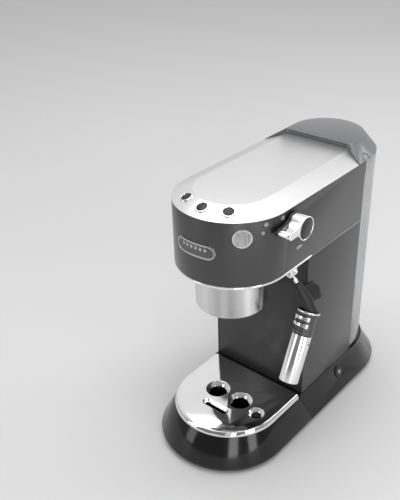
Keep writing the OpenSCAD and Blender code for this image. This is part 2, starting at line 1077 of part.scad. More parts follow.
module water_hoses() {
    color([0.88, 0.88, 0.86])
        union() {
            // from the tank seat through the rear panel's foot to the flow meter
            bent([
                [0, outlet_y, deck_z],
                [0, outlet_y, skirt_z - 12],
                [0, back_y - 22, skirt_z - 12],
                [0, back_y - 22, meter_z + 8],
                [0, meter_y, meter_z + 8],
                [meter_x - 22, meter_y, meter_z + 8]
            ], hose_r);
            // from the flow meter to the pump
            bent([
                [meter_x, meter_y, meter_z + 24],
                [meter_x, meter_y, meter_z + 34],
                [meter_x, pump_y - 24, meter_z + 34],
                [pump_x, pump_y - 24, meter_z + 34],
                [pump_x, pump_y - 24, pump_z - 14],
                [pump_x, pump_y, pump_z - 14],
                [pump_x, pump_y, pump_z - 8]
            ], hose_r);
            // from the pump to the relief valve and the boiler
            bent([
                [pump_x, pump_y, pump_z + pump_l],
                [pump_x, pump_y, shelf_z + 16],
                [pump_x, valve_y + 16, shelf_z + 16]
            ], hose_r);
            bent([
                [valve_x, valve_y, valve_z + 12],
                [valve_x, boiler_y + boiler_l, valve_z + 12]
            ], hose_r);
        }
}

module control_board() {
    color([0.1, 0.32, 0.2])
        translate([frame_x - 6, column_y + 14, deck_z + 78]) {
            cube([1.6, back_y - 21 - column_y, 72]);
            for (k = [0 : 2])
                translate([-12, 8 + 19 * k, 8])
                    cube([12, 14, 18]);
            translate([-16, 10, 36])
                cube([16, 26, 24]);
            translate([-9, 46, 40])
                rotate([0, 90, 0])
                    cylinder(h = 9, r = 6);
        }
}

// ---------------------------------------------------------------- steam side

wand_x = body_r - 6;
wand_y = column_y - 21;
wand_stub_r = 4.4;
wand_pivot_z = under_z - 8.5;
tap_x = body_r - 33;
spindle_r = 3;
// Stem on which the wand swings, and its socket above the head floor
stem_r = 2.6;
stem_l = 11;
socket_wall = 1.8;
// Cross pin of the wand's knuckle
cross_r = 1.5;
// Clearance between the knuckle's ears and its eye, both sides together
knuckle_play = 0.2;

module steam_tap() {
    color([0.72, 0.6, 0.32])
        difference() {
            union() {
                translate([tap_x, dial_y, dial_z])
                    rotate([0, 90, 0])
                        cylinder(h = body_r - shell_t - tap_x, r = 8);
                translate([tap_x + 6, dial_y - 8, dial_z - 11])
                    cube([12, 16, 12]);
            }
            translate([tap_x + 10, dial_y, dial_z])
                rotate([0, 90, 0])
                    cylinder(h = 40, r = spindle_r + pin_gap);
        }
}

module steam_line() {
    color([0.8, 0.8, 0.8])
        elbowed([
            [tap_x + 12, dial_y, dial_z - 11],
            [tap_x + 12, dial_y, dial_z - 22],
            [tap_x + 12, wand_y, dial_z - 22],
            [wand_x, wand_y, dial_z - 22],
            [wand_x, wand_y, under_z + 14]
        ], 2);
}

module dial_ring() {
    color([0.06, 0.06, 0.06])
        translate([body_r, dial_y, dial_z])
            rotate([0, 90, 0])
                difference() {
                    cylinder(h = 1, r = dial_d / 2 + 3);
                    translate([0, 0, -1])
                        cylinder(h = 3, r = dial_hole_r);
                }
}

module dial_spindle() {
    color([0.7, 0.6, 0.35])
        translate([tap_x + 12, dial_y, dial_z])
            rotate([0, 90, 0])
                cylinder(h = body_r + 8 - tap_x - 12, r = spindle_r);
}

// The dial seen along its axis: a disc with a lever that points forward
lever_lo = -2.2;
lever_hi = 5;

module dial_outline(grow) {
    circle(r = dial_d / 2 + grow);
    // lever with a round tip
    tip_r = (lever_hi - lever_lo) / 2 + grow;
    translate([-lever_l + tip_r, (lever_lo + lever_hi) / 2])
        circle(r = tip_r);
    // sides of the lever, with a web that fills the corner above it
    polygon([
        [-lever_l + tip_r, lever_lo - grow],
        [0, lever_lo - grow],
        [0, dial_d * 0.3],
        [-dial_d * 0.36, dial_d * 0.34 + grow],
        [-lever_l * 0.6, lever_hi + grow],
        [-lever_l + tip_r, lever_hi + grow]
    ]);
}

// Places an outline drawn with x forward and y up on the right side of the head
module on_side(x) {
    translate([x, dial_y, dial_z])
        rotate([90, 0, 90])
            children();
}

dial_gap = 1.4;
dial_base_h = 3;
dial_hub_x = body_r + dial_gap;
cap_seat = 1.4;

module dial_base() {
    color([0.06, 0.06, 0.06])
        difference() {
            on_side(dial_hub_x)
                linear_extrude(dial_base_h)
                    dial_outline(0.8);
            on_side(body_r - 1)
                cylinder(h = 12, r = spindle_r);
        }
}

module dial_lever() {
    color([0.84, 0.84, 0.85])
        difference() {
            on_side(dial_hub_x + dial_base_h)
                linear_extrude(dial_out - dial_gap - dial_base_h)
                    dial_outline(0);
            on_side(body_r - 1)
                cylinder(h = 9, r = spindle_r);
            on_side(body_r + dial_out - cap_seat)
                cylinder(h = 5, r = dial_d / 2 - cap_seat);
        }
}

module dial_cap() {
    color([0.04, 0.04, 0.04])
        on_side(body_r + dial_out - cap_seat)
            cylinder(h = cap_seat - 0.2, r = dial_d / 2 - cap_seat);
}

module wand_socket() {
    color([0.72, 0.6, 0.32])
        translate([wand_x, wand_y, 0])
            difference() {
                translate([0, 0, under_z + 2.4])
                    cylinder(h = stem_l + 0.6, r = stem_r + socket_wall);
                translate([0, 0, under_z])
                    cylinder(h = stem_l + 0.3, r = stem_r + pin_gap);
            }
}

knuckle_r = 4.2;
ear_t = 2.2;
eye_t = 4.6;

module wand_swivel() {
    color([0.84, 0.84, 0.85])
        translate([wand_x, wand_y, 0])
            difference() {
                union() {
                    translate([0, 0, under_z - 3.4])
                        cylinder(h = 4.2, r = wand_stub_r);
                    translate([0, 0, under_z])
                        cylinder(h = stem_l, r = stem_r);
                    for (s = [-1, 1])
                        translate([0, s * (eye_t + ear_t + knuckle_play) / 2, wand_pivot_z])
                            rotate([90, 0, 0])
                                cylinder(h = ear_t, r = knuckle_r, center = true);
                    for (s = [-1, 1])
                        translate([-3, s * (eye_t + ear_t + knuckle_play) / 2 - ear_t / 2, wand_pivot_z])
                            cube([6, ear_t, under_z - 3 - wand_pivot_z]);
                }
                translate([0, 0, wand_pivot_z])
                    rotate([90, 0, 0])
                        cylinder(h = 20, r = cross_r, center = true);
            }
}

module wand_pin() {
    color([0.75, 0.75, 0.76])
        translate([wand_x, wand_y, wand_pivot_z])
            rotate([90, 0, 0])
                cylinder(h = eye_t + 2 * ear_t + knuckle_play, r = cross_r, center = true);
}

arm_r = pipe_d / 2 - 0.8;
neck_pipe_r = 1.2;
// The wand leans out and back to its knee, then the frother leans forward
wand_out = 16;
wand_back = 11.9;
wand_drop = 42;
pivot = [wand_x, wand_y, wand_pivot_z];
knee = [wand_x + wand_out, wand_y + wand_back, wand_pivot_z - wand_drop];
arm_dir = (knee - pivot) / norm(knee - pivot);
grip_top = pivot + 15 * arm_dir;
down = [0, -sin(frother_tilt), -cos(frother_tilt)];

// Places its children at the knee with their Z axis along the frother, pointing up
module on_frother(d) {
    translate(knee + d * down)
        rotate([-frother_tilt, 0, 0])
            children();
}

module wand_pipe() {
    color([0.84, 0.84, 0.85])
        difference() {
            union() {
                translate(pivot)
                    rotate([90, 0, 0])
                        cylinder(h = eye_t, r = knuckle_r - 0.3, center = true);
                rod(pivot + 2.5 * arm_dir, pivot + 7.5 * arm_dir, neck_pipe_r);
                rod(pivot + 7 * arm_dir, grip_top + 8 * arm_dir, arm_r);
            }
            translate(pivot)
                rotate([90, 0, 0])
                    cylinder(h = 20, r = cross_r + pin_gap, center = true);
        }
}

grip_r = 9;
tab_dir = [0.35, 0.94, 0];

module wand_grip() {
    color([0.06, 0.06, 0.06])
        difference() {
            union() {
                hull($fn = 32) {
                    translate(grip_top)
                        sphere(r = pipe_d / 2 + 0.6, $fn = 24);
                    translate(knee - 12 * arm_dir)
                        sphere(r = grip_r - 1.6, $fn = 24);
                }
                hull($fn = 32) {
                    translate(knee - 12 * arm_dir)
                        sphere(r = grip_r - 1.6, $fn = 24);
                    on_frother(3)
                        cylinder(h = 2, r = grip_r, $fn = 32);
                }
                hull($fn = 32) {
                    translate(knee - 24 * arm_dir)
                        sphere(r = 3, $fn = 16);
                    translate(knee - 8 * arm_dir)
                        sphere(r = 3, $fn = 16);
                    translate(knee - 26 * arm_dir + 15 * tab_dir)
                        sphere(r = 3, $fn = 16);
                    translate(knee - 10 * arm_dir + 16 * tab_dir)
                        sphere(r = 3, $fn = 16);
                    translate(knee - 21 * arm_dir + 18.5 * tab_dir)
                        sphere(r = 3, $fn = 16);
                }
            }
            rod(grip_top - 8 * arm_dir, grip_top + 8 * arm_dir, arm_r);
        }
}

collar_r = sleeve_d / 2 + 1.4;
collar_top = 3;
collar_end = collar_top + collar_l;
waist_in = 1.6;
waist_top = collar_top + 4.5;
waist_end = collar_top + 21;
selector_travel = 3.5;

module frother_collar() {
    color([0.24, 0.24, 0.25])
        on_frother(collar_end)
            difference() {
                union() {
                    cylinder(h = collar_l, r = collar_r - waist_in);
                    translate([0, 0, collar_end - waist_top])
                        cylinder(h = waist_top - collar_top, r = collar_r);
                    cylinder(h = collar_end - waist_end, r = sleeve_d / 2 + 0.6);
                    translate([0, 0, -4])
                        cylinder(h = 5, r = sleeve_d / 2 - 1.7);
                }
                translate([0, 0, -5])
                    cylinder(h = 12, r = 3);
            }
}

band_h = 3.2;
band_gap = 4.2;
// The bands run from a joining post at the rear to their round ends at the front
band_from = 185;
band_to = 305;
post_r = 2.3;
end_proud = 0.6;

module selector_ring() {
    ring_in = collar_r - waist_in + 0.3;
    color([0.84, 0.84, 0.85])
        on_frother(waist_end - selector_travel - 1.2)
            difference() {
                union() {
                    for (z = [0, band_h + band_gap])
                        translate([0, 0, z]) {
                            rotate([0, 0, band_from])
                                rotate_extrude(angle = band_to - band_from)
                                    translate([ring_in - 0.5, 0])
                                        square([collar_r + 1.1 - ring_in, band_h]);
                            rotate([0, 0, band_to])
                                translate([ring_in, 0, -end_proud])
                                    cylinder(h = band_h + 2 * end_proud, r = post_r);
                        }
                    rotate([0, 0, band_from])
                        translate([ring_in - 0.4, 0, -end_proud / 2])
                            cylinder(h = 2 * band_h + band_gap + end_proud, r = post_r - 0.1);
                }
                translate([0, 0, -1])
                    cylinder(h = 30, r = ring_in);
            }
}

module frother_nozzle() {
    color([0.5, 0.5, 0.52])
        on_frother(collar_end + sleeve_l - 14)
            difference() {
                union() {
                    cylinder(h = sleeve_l - 14 + 3, r = 3 - pin_gap);
                    sphere(r = 3.6, $fn = 32);
                }
                translate([0, 0, -5])
                    cylinder(h = sleeve_l + 3, r = 1);
            }
}

module frother_sleeve() {
    color([0.84, 0.84, 0.85])
        on_frother(collar_end + sleeve_l + 0.2)
            difference() {
                cylinder(h = sleeve_l, r = sleeve_d / 2);
                translate([0, 0, -1])
                    cylinder(h = sleeve_l + 2, r = sleeve_d / 2 - 1.2);
                translate([0, 0, sleeve_l - 8])
                    rotate([90, 0, 90])
                        cylinder(h = 40, r = 1.2);
            }
}

// ---------------------------------------------------------------- water tank

seat_h = 4;
tank_z = deck_z + seat_h;
tank_top = shoulder_z - 0.1;
tank_r = body_r - 0.6;
tank_front = back_y + 1;
hinge_y = tank_tip - 3;
hinge_z = tank_top - 3.2;
knuckle = 2.6;
hinge_w = 14;
ear_w = 7;
stub_r = 1.2;

// The two ears of the tank that hold the lid's stub pins
module tank_ears() {
    for (s = [-1, 1])
        translate([s * (hinge_w / 2 + seam + ear_w / 2), hinge_y, hinge_z])
            rotate([0, 90, 0])
                difference() {
                    cylinder(h = ear_w, r = knuckle, center = true);
                    cylinder(h = ear_w + 2, r = stub_r + pin_gap, center = true);
                }
}

module water_tank() {
    color([0.75, 0.77, 0.78, 0.5]) {
        tank_ears();
        difference() {
            union() {
                slab(tank_z, tank_top - tank_z)
                    difference() {
                        bow(tank_r, tank_front);
                        bow(tank_r - tank_wall, tank_front + tank_wall);
                    }
                slab(tank_z, tank_wall)
                    bow(tank_r, tank_front);
                // thicker collar round the mouth
                slab(tank_top - 14, 14)
                    difference() {
                        bow(tank_r + 0.5, tank_front);
                        bow(tank_r - tank_wall, tank_front + tank_wall);
                    }
            }
            // hollow in the collar that lets the lid swing back
            translate([-hinge_w / 2 - ear_w - 3, tank_c + 30, hinge_z])
                cube([hinge_w + 2 * ear_w + 6, 50, 20]);
            translate([-hinge_w / 2 - seam, tank_c + 30, hinge_z - knuckle - 0.4])
                cube([hinge_w + 2 * seam, 50, 20]);
            translate([0, hinge_y, hinge_z])
                rotate([0, 90, 0])
                    cylinder(h = 60, r = stub_r + pin_gap, center = true);
            translate([0, outlet_y, tank_z - 1])
                cylinder(h = 10, r = 6);
        }
    }
}

module tank_seat() {
    color([0.08, 0.08, 0.09])
        difference() {
            union() {
                slab(deck_z, seat_h)
                    bow(tank_r - 4, tank_front + 4);
                translate([0, outlet_y, deck_z])
                    cylinder(h = seat_h + 9, r = 5.6);
            }
            translate([0, outlet_y, deck_z - 1])
                cylinder(h = 30, r = 2.5);
        }
}

lid_z = shoulder_z + seam;
lid_wall = 2;
notch_r = 5;

// The lid's domed solid, shrunk by inset
module lid_solid(inset) {
    hull($fn = 64) {
        slab(machine_h - 1 - inset, 1) {
            translate([0, tank_c + 12])
                circle(r = body_r - bevel_w + 1 - inset, $fn = 64);
            translate([-body_r + bevel_w + inset, plate_back])
                square([2 * (body_r - bevel_w - inset), 5]);
        }
        slab(lid_z, 0.01) {
            translate([0, tank_c])
                circle(r = body_r - inset, $fn = 64);
            translate([-body_r + inset, plate_back - ear_drop - 3])
                square([2 * (body_r - inset), 5]);
        }
    }
}

module tank_lid() {
    color([0.45, 0.46, 0.48])
        difference() {
            union() {
                intersection() {
                    lid_solid(0);
                    translate([0, 0, lid_z])
                        behind_plate(0);
                }
                translate([0, hinge_y, hinge_z])
                    rotate([0, 90, 0])
                        cylinder(h = hinge_w, r = knuckle, center = true);
                translate([0, hinge_y, hinge_z])
                    rotate([0, 90, 0])
                        cylinder(h = hinge_w + 2 * (ear_w - 1), r = stub_r, center = true);
                translate([-hinge_w / 2, hinge_y - knuckle, hinge_z])
                    cube([hinge_w, 2 * knuckle, lid_z + 1 - hinge_z]);
            }
            translate([0, 0, -0.02])
                intersection() {
                    lid_solid(lid_wall);
                    translate([0, lid_wall + 1, lid_z - 1])
                        behind_plate(0);
                    translate([-body_w, 0, 0])
                        cube([2 * body_w, hinge_y - knuckle - 2, machine_h + 10]);
                }
            for (s = [-1, 1])
                translate([s * body_r, back_y + 5, lid_z])
                    rotate([0, 90, 0])
                        cylinder(h = 14, r = notch_r, center = true);
        }
}

base_shell();
base_plate();
rubber_feet();
base_screws();
drip_tray();
cup_plate();
level_float();
power_button();
power_switch();
cord_gland();
inner_frame();
column_front();
side_panel_right();
side_panel_left();
rear_panel();
head_shell();
head_trim();
seam_strips();
head_floor();
cup_warmer();
name_badge();
round_badge();
button_rings();
button_left();
button_middle();
button_right();
button_board();
control_board();
group_ring();
group_head();
group_gasket();
shower_screen();
shower_screw();
group_bolts();
boiler();
boiler_sensor();
relief_valve();
pump();
pump_mounts();
flow_meter();
water_hoses();
steam_tap();
steam_line();
dial_ring();
dial_spindle();
dial_base();
dial_lever();
dial_cap();
wand_socket();
wand_swivel();
wand_pin();
wand_pipe();
wand_grip();
frother_collar();
selector_ring();
frother_nozzle();
frother_sleeve();
water_tank();
tank_seat();
tank_lid();
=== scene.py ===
"""Visible pieces and finishes of a slim espresso machine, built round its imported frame.

The frame gives every place: pieces sit where the nodes they stand for sit, in metres, +Z up,
with the front towards -Y and the steam wand on +X.
"""
from __future__ import annotations

import json
import logging
import math
from collections.abc import Callable, Sequence
from dataclasses import dataclass, field
from enum import Enum
from typing import Union

import bmesh
import bpy
from mathutils import Matrix, Vector

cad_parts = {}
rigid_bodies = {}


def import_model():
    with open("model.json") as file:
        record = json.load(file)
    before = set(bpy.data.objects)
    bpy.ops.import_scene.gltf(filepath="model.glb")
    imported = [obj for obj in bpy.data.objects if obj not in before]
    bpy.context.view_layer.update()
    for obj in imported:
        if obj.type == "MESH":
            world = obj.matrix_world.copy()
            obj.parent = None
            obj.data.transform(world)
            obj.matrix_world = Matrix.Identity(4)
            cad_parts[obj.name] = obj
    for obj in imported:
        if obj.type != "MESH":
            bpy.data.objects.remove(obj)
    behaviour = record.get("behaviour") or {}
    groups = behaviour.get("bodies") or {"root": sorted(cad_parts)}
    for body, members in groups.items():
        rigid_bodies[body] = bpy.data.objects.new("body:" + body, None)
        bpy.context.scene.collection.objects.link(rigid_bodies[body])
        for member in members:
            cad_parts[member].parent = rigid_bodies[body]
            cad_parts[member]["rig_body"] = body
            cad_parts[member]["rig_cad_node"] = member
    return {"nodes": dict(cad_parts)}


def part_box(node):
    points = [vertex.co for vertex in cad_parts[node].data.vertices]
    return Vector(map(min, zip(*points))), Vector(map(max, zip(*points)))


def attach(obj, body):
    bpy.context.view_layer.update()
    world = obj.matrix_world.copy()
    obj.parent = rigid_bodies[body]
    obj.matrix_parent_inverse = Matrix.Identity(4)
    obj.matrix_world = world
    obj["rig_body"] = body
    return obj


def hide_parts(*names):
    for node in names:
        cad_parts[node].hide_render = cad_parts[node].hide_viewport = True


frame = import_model()

LOG = logging.getLogger("espresso_machine")
MM = 0.001
# Radius of the head and place of its middle along the depth, in millimetres
HEAD_RADIUS = 61.0
HEAD_MIDDLE = -75.0
# Turns a piece that lies face up so that it faces the front
FACING_FRONT = Matrix.Rotation(math.pi / 2, 4, "X")
Point = tuple[float, float, float]
Number = Union[float, "Signal"]
VertexTest = Callable[[bmesh.types.BMVert], bool]


# ------------------------------------------------------------------ shader building


class Signal:
    """A value in a shader: one output socket, with arithmetic that adds Math nodes."""

    def __init__(self, graph: "Graph", socket: bpy.types.NodeSocket) -> None:
        """Wraps a socket.

        Args:
            graph: The material that the socket belongs to.
            socket: The output socket.
        """
        self.graph = graph
        self.socket = socket

    def _math(self, operation: str, first: Number, second: Number) -> "Signal":
        """Adds one Math node.

        Args:
            operation: Name of the operation.
            first: Left value.
            second: Right value.

        Returns:
            The node's output.
        """
        return self.graph.node("ShaderNodeMath", {"operation": operation}, {0: first, 1: second})

    def __add__(self, other: Number) -> "Signal":
        """Sum of two values."""
        return self._math("ADD", self, other)

    __radd__ = __add__

    def __sub__(self, other: Number) -> "Signal":
        """Difference of two values."""
        return self._math("SUBTRACT", self, other)

    def __rsub__(self, other: Number) -> "Signal":
        """Difference with the value on the right."""
        return self._math("SUBTRACT", other, self)

    def __mul__(self, other: Number) -> "Signal":
        """Product of two values."""
        return self._math("MULTIPLY", self, other)

    __rmul__ = __mul__

    def above(self, limit: Number) -> "Signal":
        """One where the value is over the limit, else zero."""
        return self._math("GREATER_THAN", self, limit)


class Graph:
    """A material's node graph round one Principled shader."""

    def __init__(self, name: str) -> None:
        """Makes the material.

        Args:
            name: The material's name.
        """
        self.material = bpy.data.materials.new(name)
        self.material.use_nodes = True
        self.tree = self.material.node_tree
        self.tree.nodes.clear()
        output = self.tree.nodes.new("ShaderNodeOutputMaterial")
        self.shader = self.tree.nodes.new("ShaderNodeBsdfPrincipled")
        self.tree.links.new(self.shader.outputs[0], output.inputs["Surface"])
        self.coords = self.node("ShaderNodeTexCoord", {}, {}, "Object")

    def feed(self, socket: bpy.types.NodeSocket, value: object) -> None:
        """Links a signal to an input, or sets its constant.

        Args:
            socket: The input.
            value: The signal or the constant.
        """
        if isinstance(value, Signal):
            self.tree.links.new(value.socket, socket)
        else:
            socket.default_value = value

    def node(self, kind: str, settings: dict[str, object], inputs: dict[int | str, object],
             output: int | str = 0) -> Signal:
        """Adds a node.

        Args:
            kind: The node's type.
            settings: Properties that are set first; "stops" holds a ramp's stops.
            inputs: Values or signals for its inputs.
            output: Which output is wanted.

        Returns:
            The wanted output.
        """
        node = self.tree.nodes.new(kind)
        for key, value in settings.items():
            if key == "stops":
                self._stops(node, value)
            else:
                setattr(node, key, value)
        for key, value in inputs.items():
            self.feed(node.inputs[key], value)
        return Signal(self, node.outputs[output])

    @staticmethod
    def _stops(node: bpy.types.Node, stops: Sequence[tuple[float, float]]) -> None:
        """Sets a ramp's stops as greys.

        Args:
            node: The ramp.
            stops: Pairs of place and grey value.
        """
        ramp = node.color_ramp
        while len(ramp.elements) < len(stops):
            ramp.elements.new(0.5)
        for element, (place, grey) in zip(ramp.elements, stops):
            element.position = place
            element.color = (grey, grey, grey, 1.0)

    def set(self, **sockets: object) -> None:
        """Sets the shader's own sockets; an underscore in a name stands for a space."""
        for name, value in sockets.items():
            self.feed(self.shader.inputs[name.replace("_", " ")], value)

    def noise(self, scale: float, detail: float = 3.0, stretch: Point = (1.0, 1.0, 1.0)) -> Signal:
        """Noise over the piece.

        Args:
            scale: Lumps per metre.
            detail: Number of finer layers.
            stretch: Scale of the coordinates along each axis.

        Returns:
            The noise's height, about 0 to 1.
        """
        place: Signal = self.coords
        if stretch != (1.0, 1.0, 1.0):
            place = self.node("ShaderNodeMapping", {"vector_type": "POINT"},
                              {"Vector": place, "Scale": stretch})
        return self.node("ShaderNodeTexNoise", {"noise_dimensions": "3D"},
                         {"Vector": place, "Scale": scale, "Detail": detail}, 0)

    def ramp(self, value: Signal, stops: Sequence[tuple[float, float]]) -> Signal:
        """Maps a value through a grey ramp."""
        return self.node("ShaderNodeValToRGB", {"stops": stops}, {0: value})

    def tint(self, amount: Signal, first: Point, second: Point) -> Signal:
        """Mixes two colours.

        Args:
            amount: How much of the second, 0 to 1.
            first: Colour at 0.
            second: Colour at 1.

        Returns:
            The mixed colour.
        """
        return self.node("ShaderNodeMix", {"data_type": "RGBA"},
                         {0: amount, 6: (*first, 1.0), 7: (*second, 1.0)}, 2)

    def bump(self, height: Signal, depth: float) -> None:
        """Raises the surface by a height.

        Args:
            height: The relief, 0 to 1.
            depth: Its depth in metres.
        """
        normal = self.node("ShaderNodeBump", {},
                           {"Strength": 1.0, "Distance": depth, "Height": height})
        self.feed(self.shader.inputs["Normal"], normal)


def shaded(color: Point, factor: float) -> Point:
    """A colour made lighter or darker by a factor."""
    return (min(1.0, color[0] * factor), min(1.0, color[1] * factor), min(1.0, color[2] * factor))


@dataclass(frozen=True)
class Finish:
    """What every finish has."""

    name: str
    color: Point
    roughness: float = 0.3

    def dress(self, graph: Graph) -> None:
        """Builds the surface; each finish does it its own way.

        Args:
            graph: The material that is built.
        """
        raise NotImplementedError

    def material(self) -> bpy.types.Material:
        """The finish as a material, made once and then shared.

        Returns:
            The material.
        """
        made = bpy.data.materials.get(self.name)
        if made is None:
            graph = Graph(self.name)
            self.dress(graph)
            made = graph.material
        return made


@dataclass(frozen=True)
class Moulding(Finish):
    """Moulded plastic with a faint texture, handling marks and an optional clear coat."""

    grain: float = 900.0
    depth: float = 0.00001
    coat: float = 0.0
    bend: float = 1.5

    def dress(self, graph: Graph) -> None:
        """Builds the surface: grain, a slow change of gloss and finger marks.

        Args:
            graph: The material that is built.
        """
        cloud = graph.noise(28.0, 4.0)
        speck = graph.noise(self.grain, 2.0)
        smear = graph.ramp(graph.noise(46.0, 5.0, (1.0, 1.0, 0.35)), [(0.42, 0.0), (0.68, 1.0)])
        graph.set(Base_Color=graph.tint(cloud, shaded(self.color, 0.92), shaded(self.color, 1.1)),
                  Roughness=self.roughness * (0.86 + 0.18 * cloud) + 0.05 * smear,
                  Coat_Weight=self.coat, Coat_Roughness=0.06, IOR=self.bend)
        graph.bump(speck, self.depth)


@dataclass(frozen=True)
class Paint(Finish):
    """Metallic paint: fine flakes under a smooth coat with a little orange peel."""

    flake: float = 2600.0
    metallic: float = 0.75

    def dress(self, graph: Graph) -> None:
        """Builds the surface: flakes, cloud, peel and a thin coat.

        Args:
            graph: The material that is built.
        """
        flakes = graph.node("ShaderNodeTexVoronoi", {"feature": "F1"},
                            {"Vector": graph.coords, "Scale": self.flake}, "Distance")
        glint = graph.ramp(flakes, [(0.08, 1.0), (0.3, 0.0)])
        cloud = graph.noise(14.0, 3.0)
        tone = graph.tint(0.7 * glint + 0.3 * cloud,
                          shaded(self.color, 0.9), shaded(self.color, 1.35))
        graph.set(Base_Color=tone, Metallic=self.metallic,
                  Roughness=self.roughness * (0.9 + 0.2 * cloud) - 0.05 * glint,
                  Coat_Weight=0.35, Coat_Roughness=0.12)
        graph.bump(graph.noise(420.0, 2.0), 0.000006)


@dataclass(frozen=True)
class Polished(Finish):
    """Bright polished metal with hairline scratches and faint smears."""

    scratch: float = 160.0

    def dress(self, graph: Graph) -> None:
        """Builds the surface: scratches in two directions and dull patches.

        Args:
            graph: The material that is built.
        """
        first = graph.noise(self.scratch, 2.0, (1.0, 14.0, 14.0))
        second = graph.noise(self.scratch * 0.8, 2.0, (15.0, 1.0, 15.0))
        lines = graph.ramp(first * second, [(0.2, 0.0), (0.42, 1.0)])
        smear = graph.ramp(graph.noise(38.0, 4.0), [(0.45, 0.0), (0.75, 1.0)])
        graph.set(Base_Color=graph.tint(smear, self.color, shaded(self.color, 0.94)), Metallic=1.0,
                  Roughness=self.roughness + 0.04 * smear + 0.03 * lines)
        graph.bump(lines, 0.0000006)


class Run(Enum):
    """Direction of a brushed metal's lines, as the stretch of its noise."""

    ALONG_Y = (70.0, 1.2, 70.0)
    ALONG_Z = (60.0, 60.0, 1.0)


@dataclass(frozen=True)
class Brushed(Finish):
    """Metal with fine lines in one direction."""

    run: Run = Run.ALONG_Y
    depth: float = 0.000002

    def dress(self, graph: Graph) -> None:
        """Builds the surface: long fine lines, a broader band under them and smears.

        Args:
            graph: The material that is built.
        """
        fine = graph.noise(36.0, 4.0, self.run.value)
        broad = graph.noise(9.0, 2.0, self.run.value)
        smear = graph.noise(17.0, 3.0)
        graph.set(Base_Color=graph.tint(fine, shaded(self.color, 0.93), shaded(self.color, 1.05)),
                  Metallic=1.0,
                  Roughness=self.roughness * (0.78 + 0.3 * fine + 0.14 * broad) + 0.05 * smear)
        graph.bump(fine, self.depth)


@dataclass(frozen=True)
class ReflectionStreaked(Finish):
    """Bright turned metal with soft upright streaks: painted reflection in its colour, and real
    changes of gloss along them.
    """

    def dress(self, graph: Graph) -> None:
        """Builds the surface: broad upright streaks of painted reflection in the colour, with the
        gloss changing along them, fine turning lines and smears.

        Args:
            graph: The material that is built.
        """
        broad = graph.ramp(graph.noise(55.0, 1.0, (1.0, 1.0, 0.02)), [(0.34, 0.0), (0.66, 1.0)])
        lines = graph.noise(40.0, 3.0, (1.0, 1.0, 40.0))
        smear = graph.noise(30.0, 4.0)
        # Painted reflection: the colour darkens and lightens across the upright streaks, standing
        # for the surroundings reflected in the ring.
        graph.set(Base_Color=graph.tint(broad, shaded(self.color, 0.52), shaded(self.color, 1.12)),
                  Metallic=1.0,
                  Roughness=self.roughness * (0.8 + 0.4 * lines) + 0.08 * (1.0 - broad)
                  + 0.04 * smear)
        graph.bump(lines, 0.0000008)


@dataclass(frozen=True)
class Cast(Finish):
    """Cast or plated metal with a grainy skin."""

    grain: float = 520.0
    depth: float = 0.00004

    def dress(self, graph: Graph) -> None:
        """Builds the surface: grain, stains and a changing gloss.

        Args:
            graph: The material that is built.
        """
        grain = graph.noise(self.grain, 4.0)
        stain = graph.ramp(graph.noise(30.0, 4.0), [(0.4, 0.0), (0.7, 1.0)])
        graph.set(Base_Color=graph.tint(stain, self.color, shaded(self.color, 0.78)), Metallic=1.0,
                  Roughness=self.roughness * (0.8 + 0.4 * grain))
        graph.bump(grain, self.depth)


@dataclass(frozen=True)
class Rubbery(Finish):
    """Soft rubber or silicone: matt, with a dusty film in patches."""

    grain: float = 1500.0
    sheen: float = 0.15

    def dress(self, graph: Graph) -> None:
        """Builds the surface: fine grain and a dusty film.

        Args:
            graph: The material that is built.
        """
        dust = graph.ramp(graph.noise(60.0, 5.0), [(0.5, 0.0), (0.8, 1.0)])
        graph.set(Base_Color=graph.tint(dust, self.color, shaded(self.color, 1.5)),
                  Roughness=self.roughness + 0.1 * dust,
                  Sheen_Weight=self.sheen, Sheen_Roughness=0.5)
        graph.bump(graph.noise(self.grain, 2.0), 0.00001)


@dataclass(frozen=True)
class Clear(Finish):
    """Smoked clear plastic: see-through, with ripples of the mould and a light haze."""

    haze: float = 0.12
    pass_through: float = 0.85

    def dress(self, graph: Graph) -> None:
        """Builds the surface: ripple, haze and the light that goes through.

        Args:
            graph: The material that is built.
        """
        haze = graph.noise(16.0, 2.0, (1.0, 1.0, 0.3))
        graph.set(Base_Color=graph.tint(haze, shaded(self.color, 0.96), shaded(self.color, 1.04)),
                  Roughness=self.roughness + self.haze * haze,
                  Transmission_Weight=self.pass_through, IOR=1.3)
        graph.bump(graph.noise(14.0, 1.0), 0.00002)


@dataclass(frozen=True)
class Board(Finish):
    """A circuit board with copper tracks under green lacquer."""

    def dress(self, graph: Graph) -> None:
        """Builds the surface: tracks, pads and lacquer.

        Args:
            graph: The material that is built.
        """
        cells = graph.node("ShaderNodeTexBrick", {"offset": 0.5},
                           {"Vector": graph.coords, "Scale": 260.0, "Mortar Size": 0.02}, "Fac")
        patch = graph.noise(70.0, 3.0).above(0.52)
        tracks = cells * patch
        graph.set(Base_Color=graph.tint(tracks, self.color, shaded(self.color, 1.9)),
                  Roughness=self.roughness - 0.1 * tracks, Coat_Weight=0.5)
        graph.bump(tracks, 0.00003)


@dataclass(frozen=True)
class Print(Finish):
    """A printed label: fine paper grain on a pale ground."""

    def dress(self, graph: Graph) -> None:
        """Builds the surface: paper grain and faint dulling.

        Args:
            graph: The material that is built.
        """
        fibre = graph.noise(700.0, 3.0)
        cloud = graph.noise(50.0, 3.0)
        graph.set(Base_Color=graph.tint(cloud, shaded(self.color, 0.9), self.color),
                  Roughness=self.roughness * (0.85 + 0.3 * cloud), Coat_Weight=0.3)
        graph.bump(fibre, 0.000006)


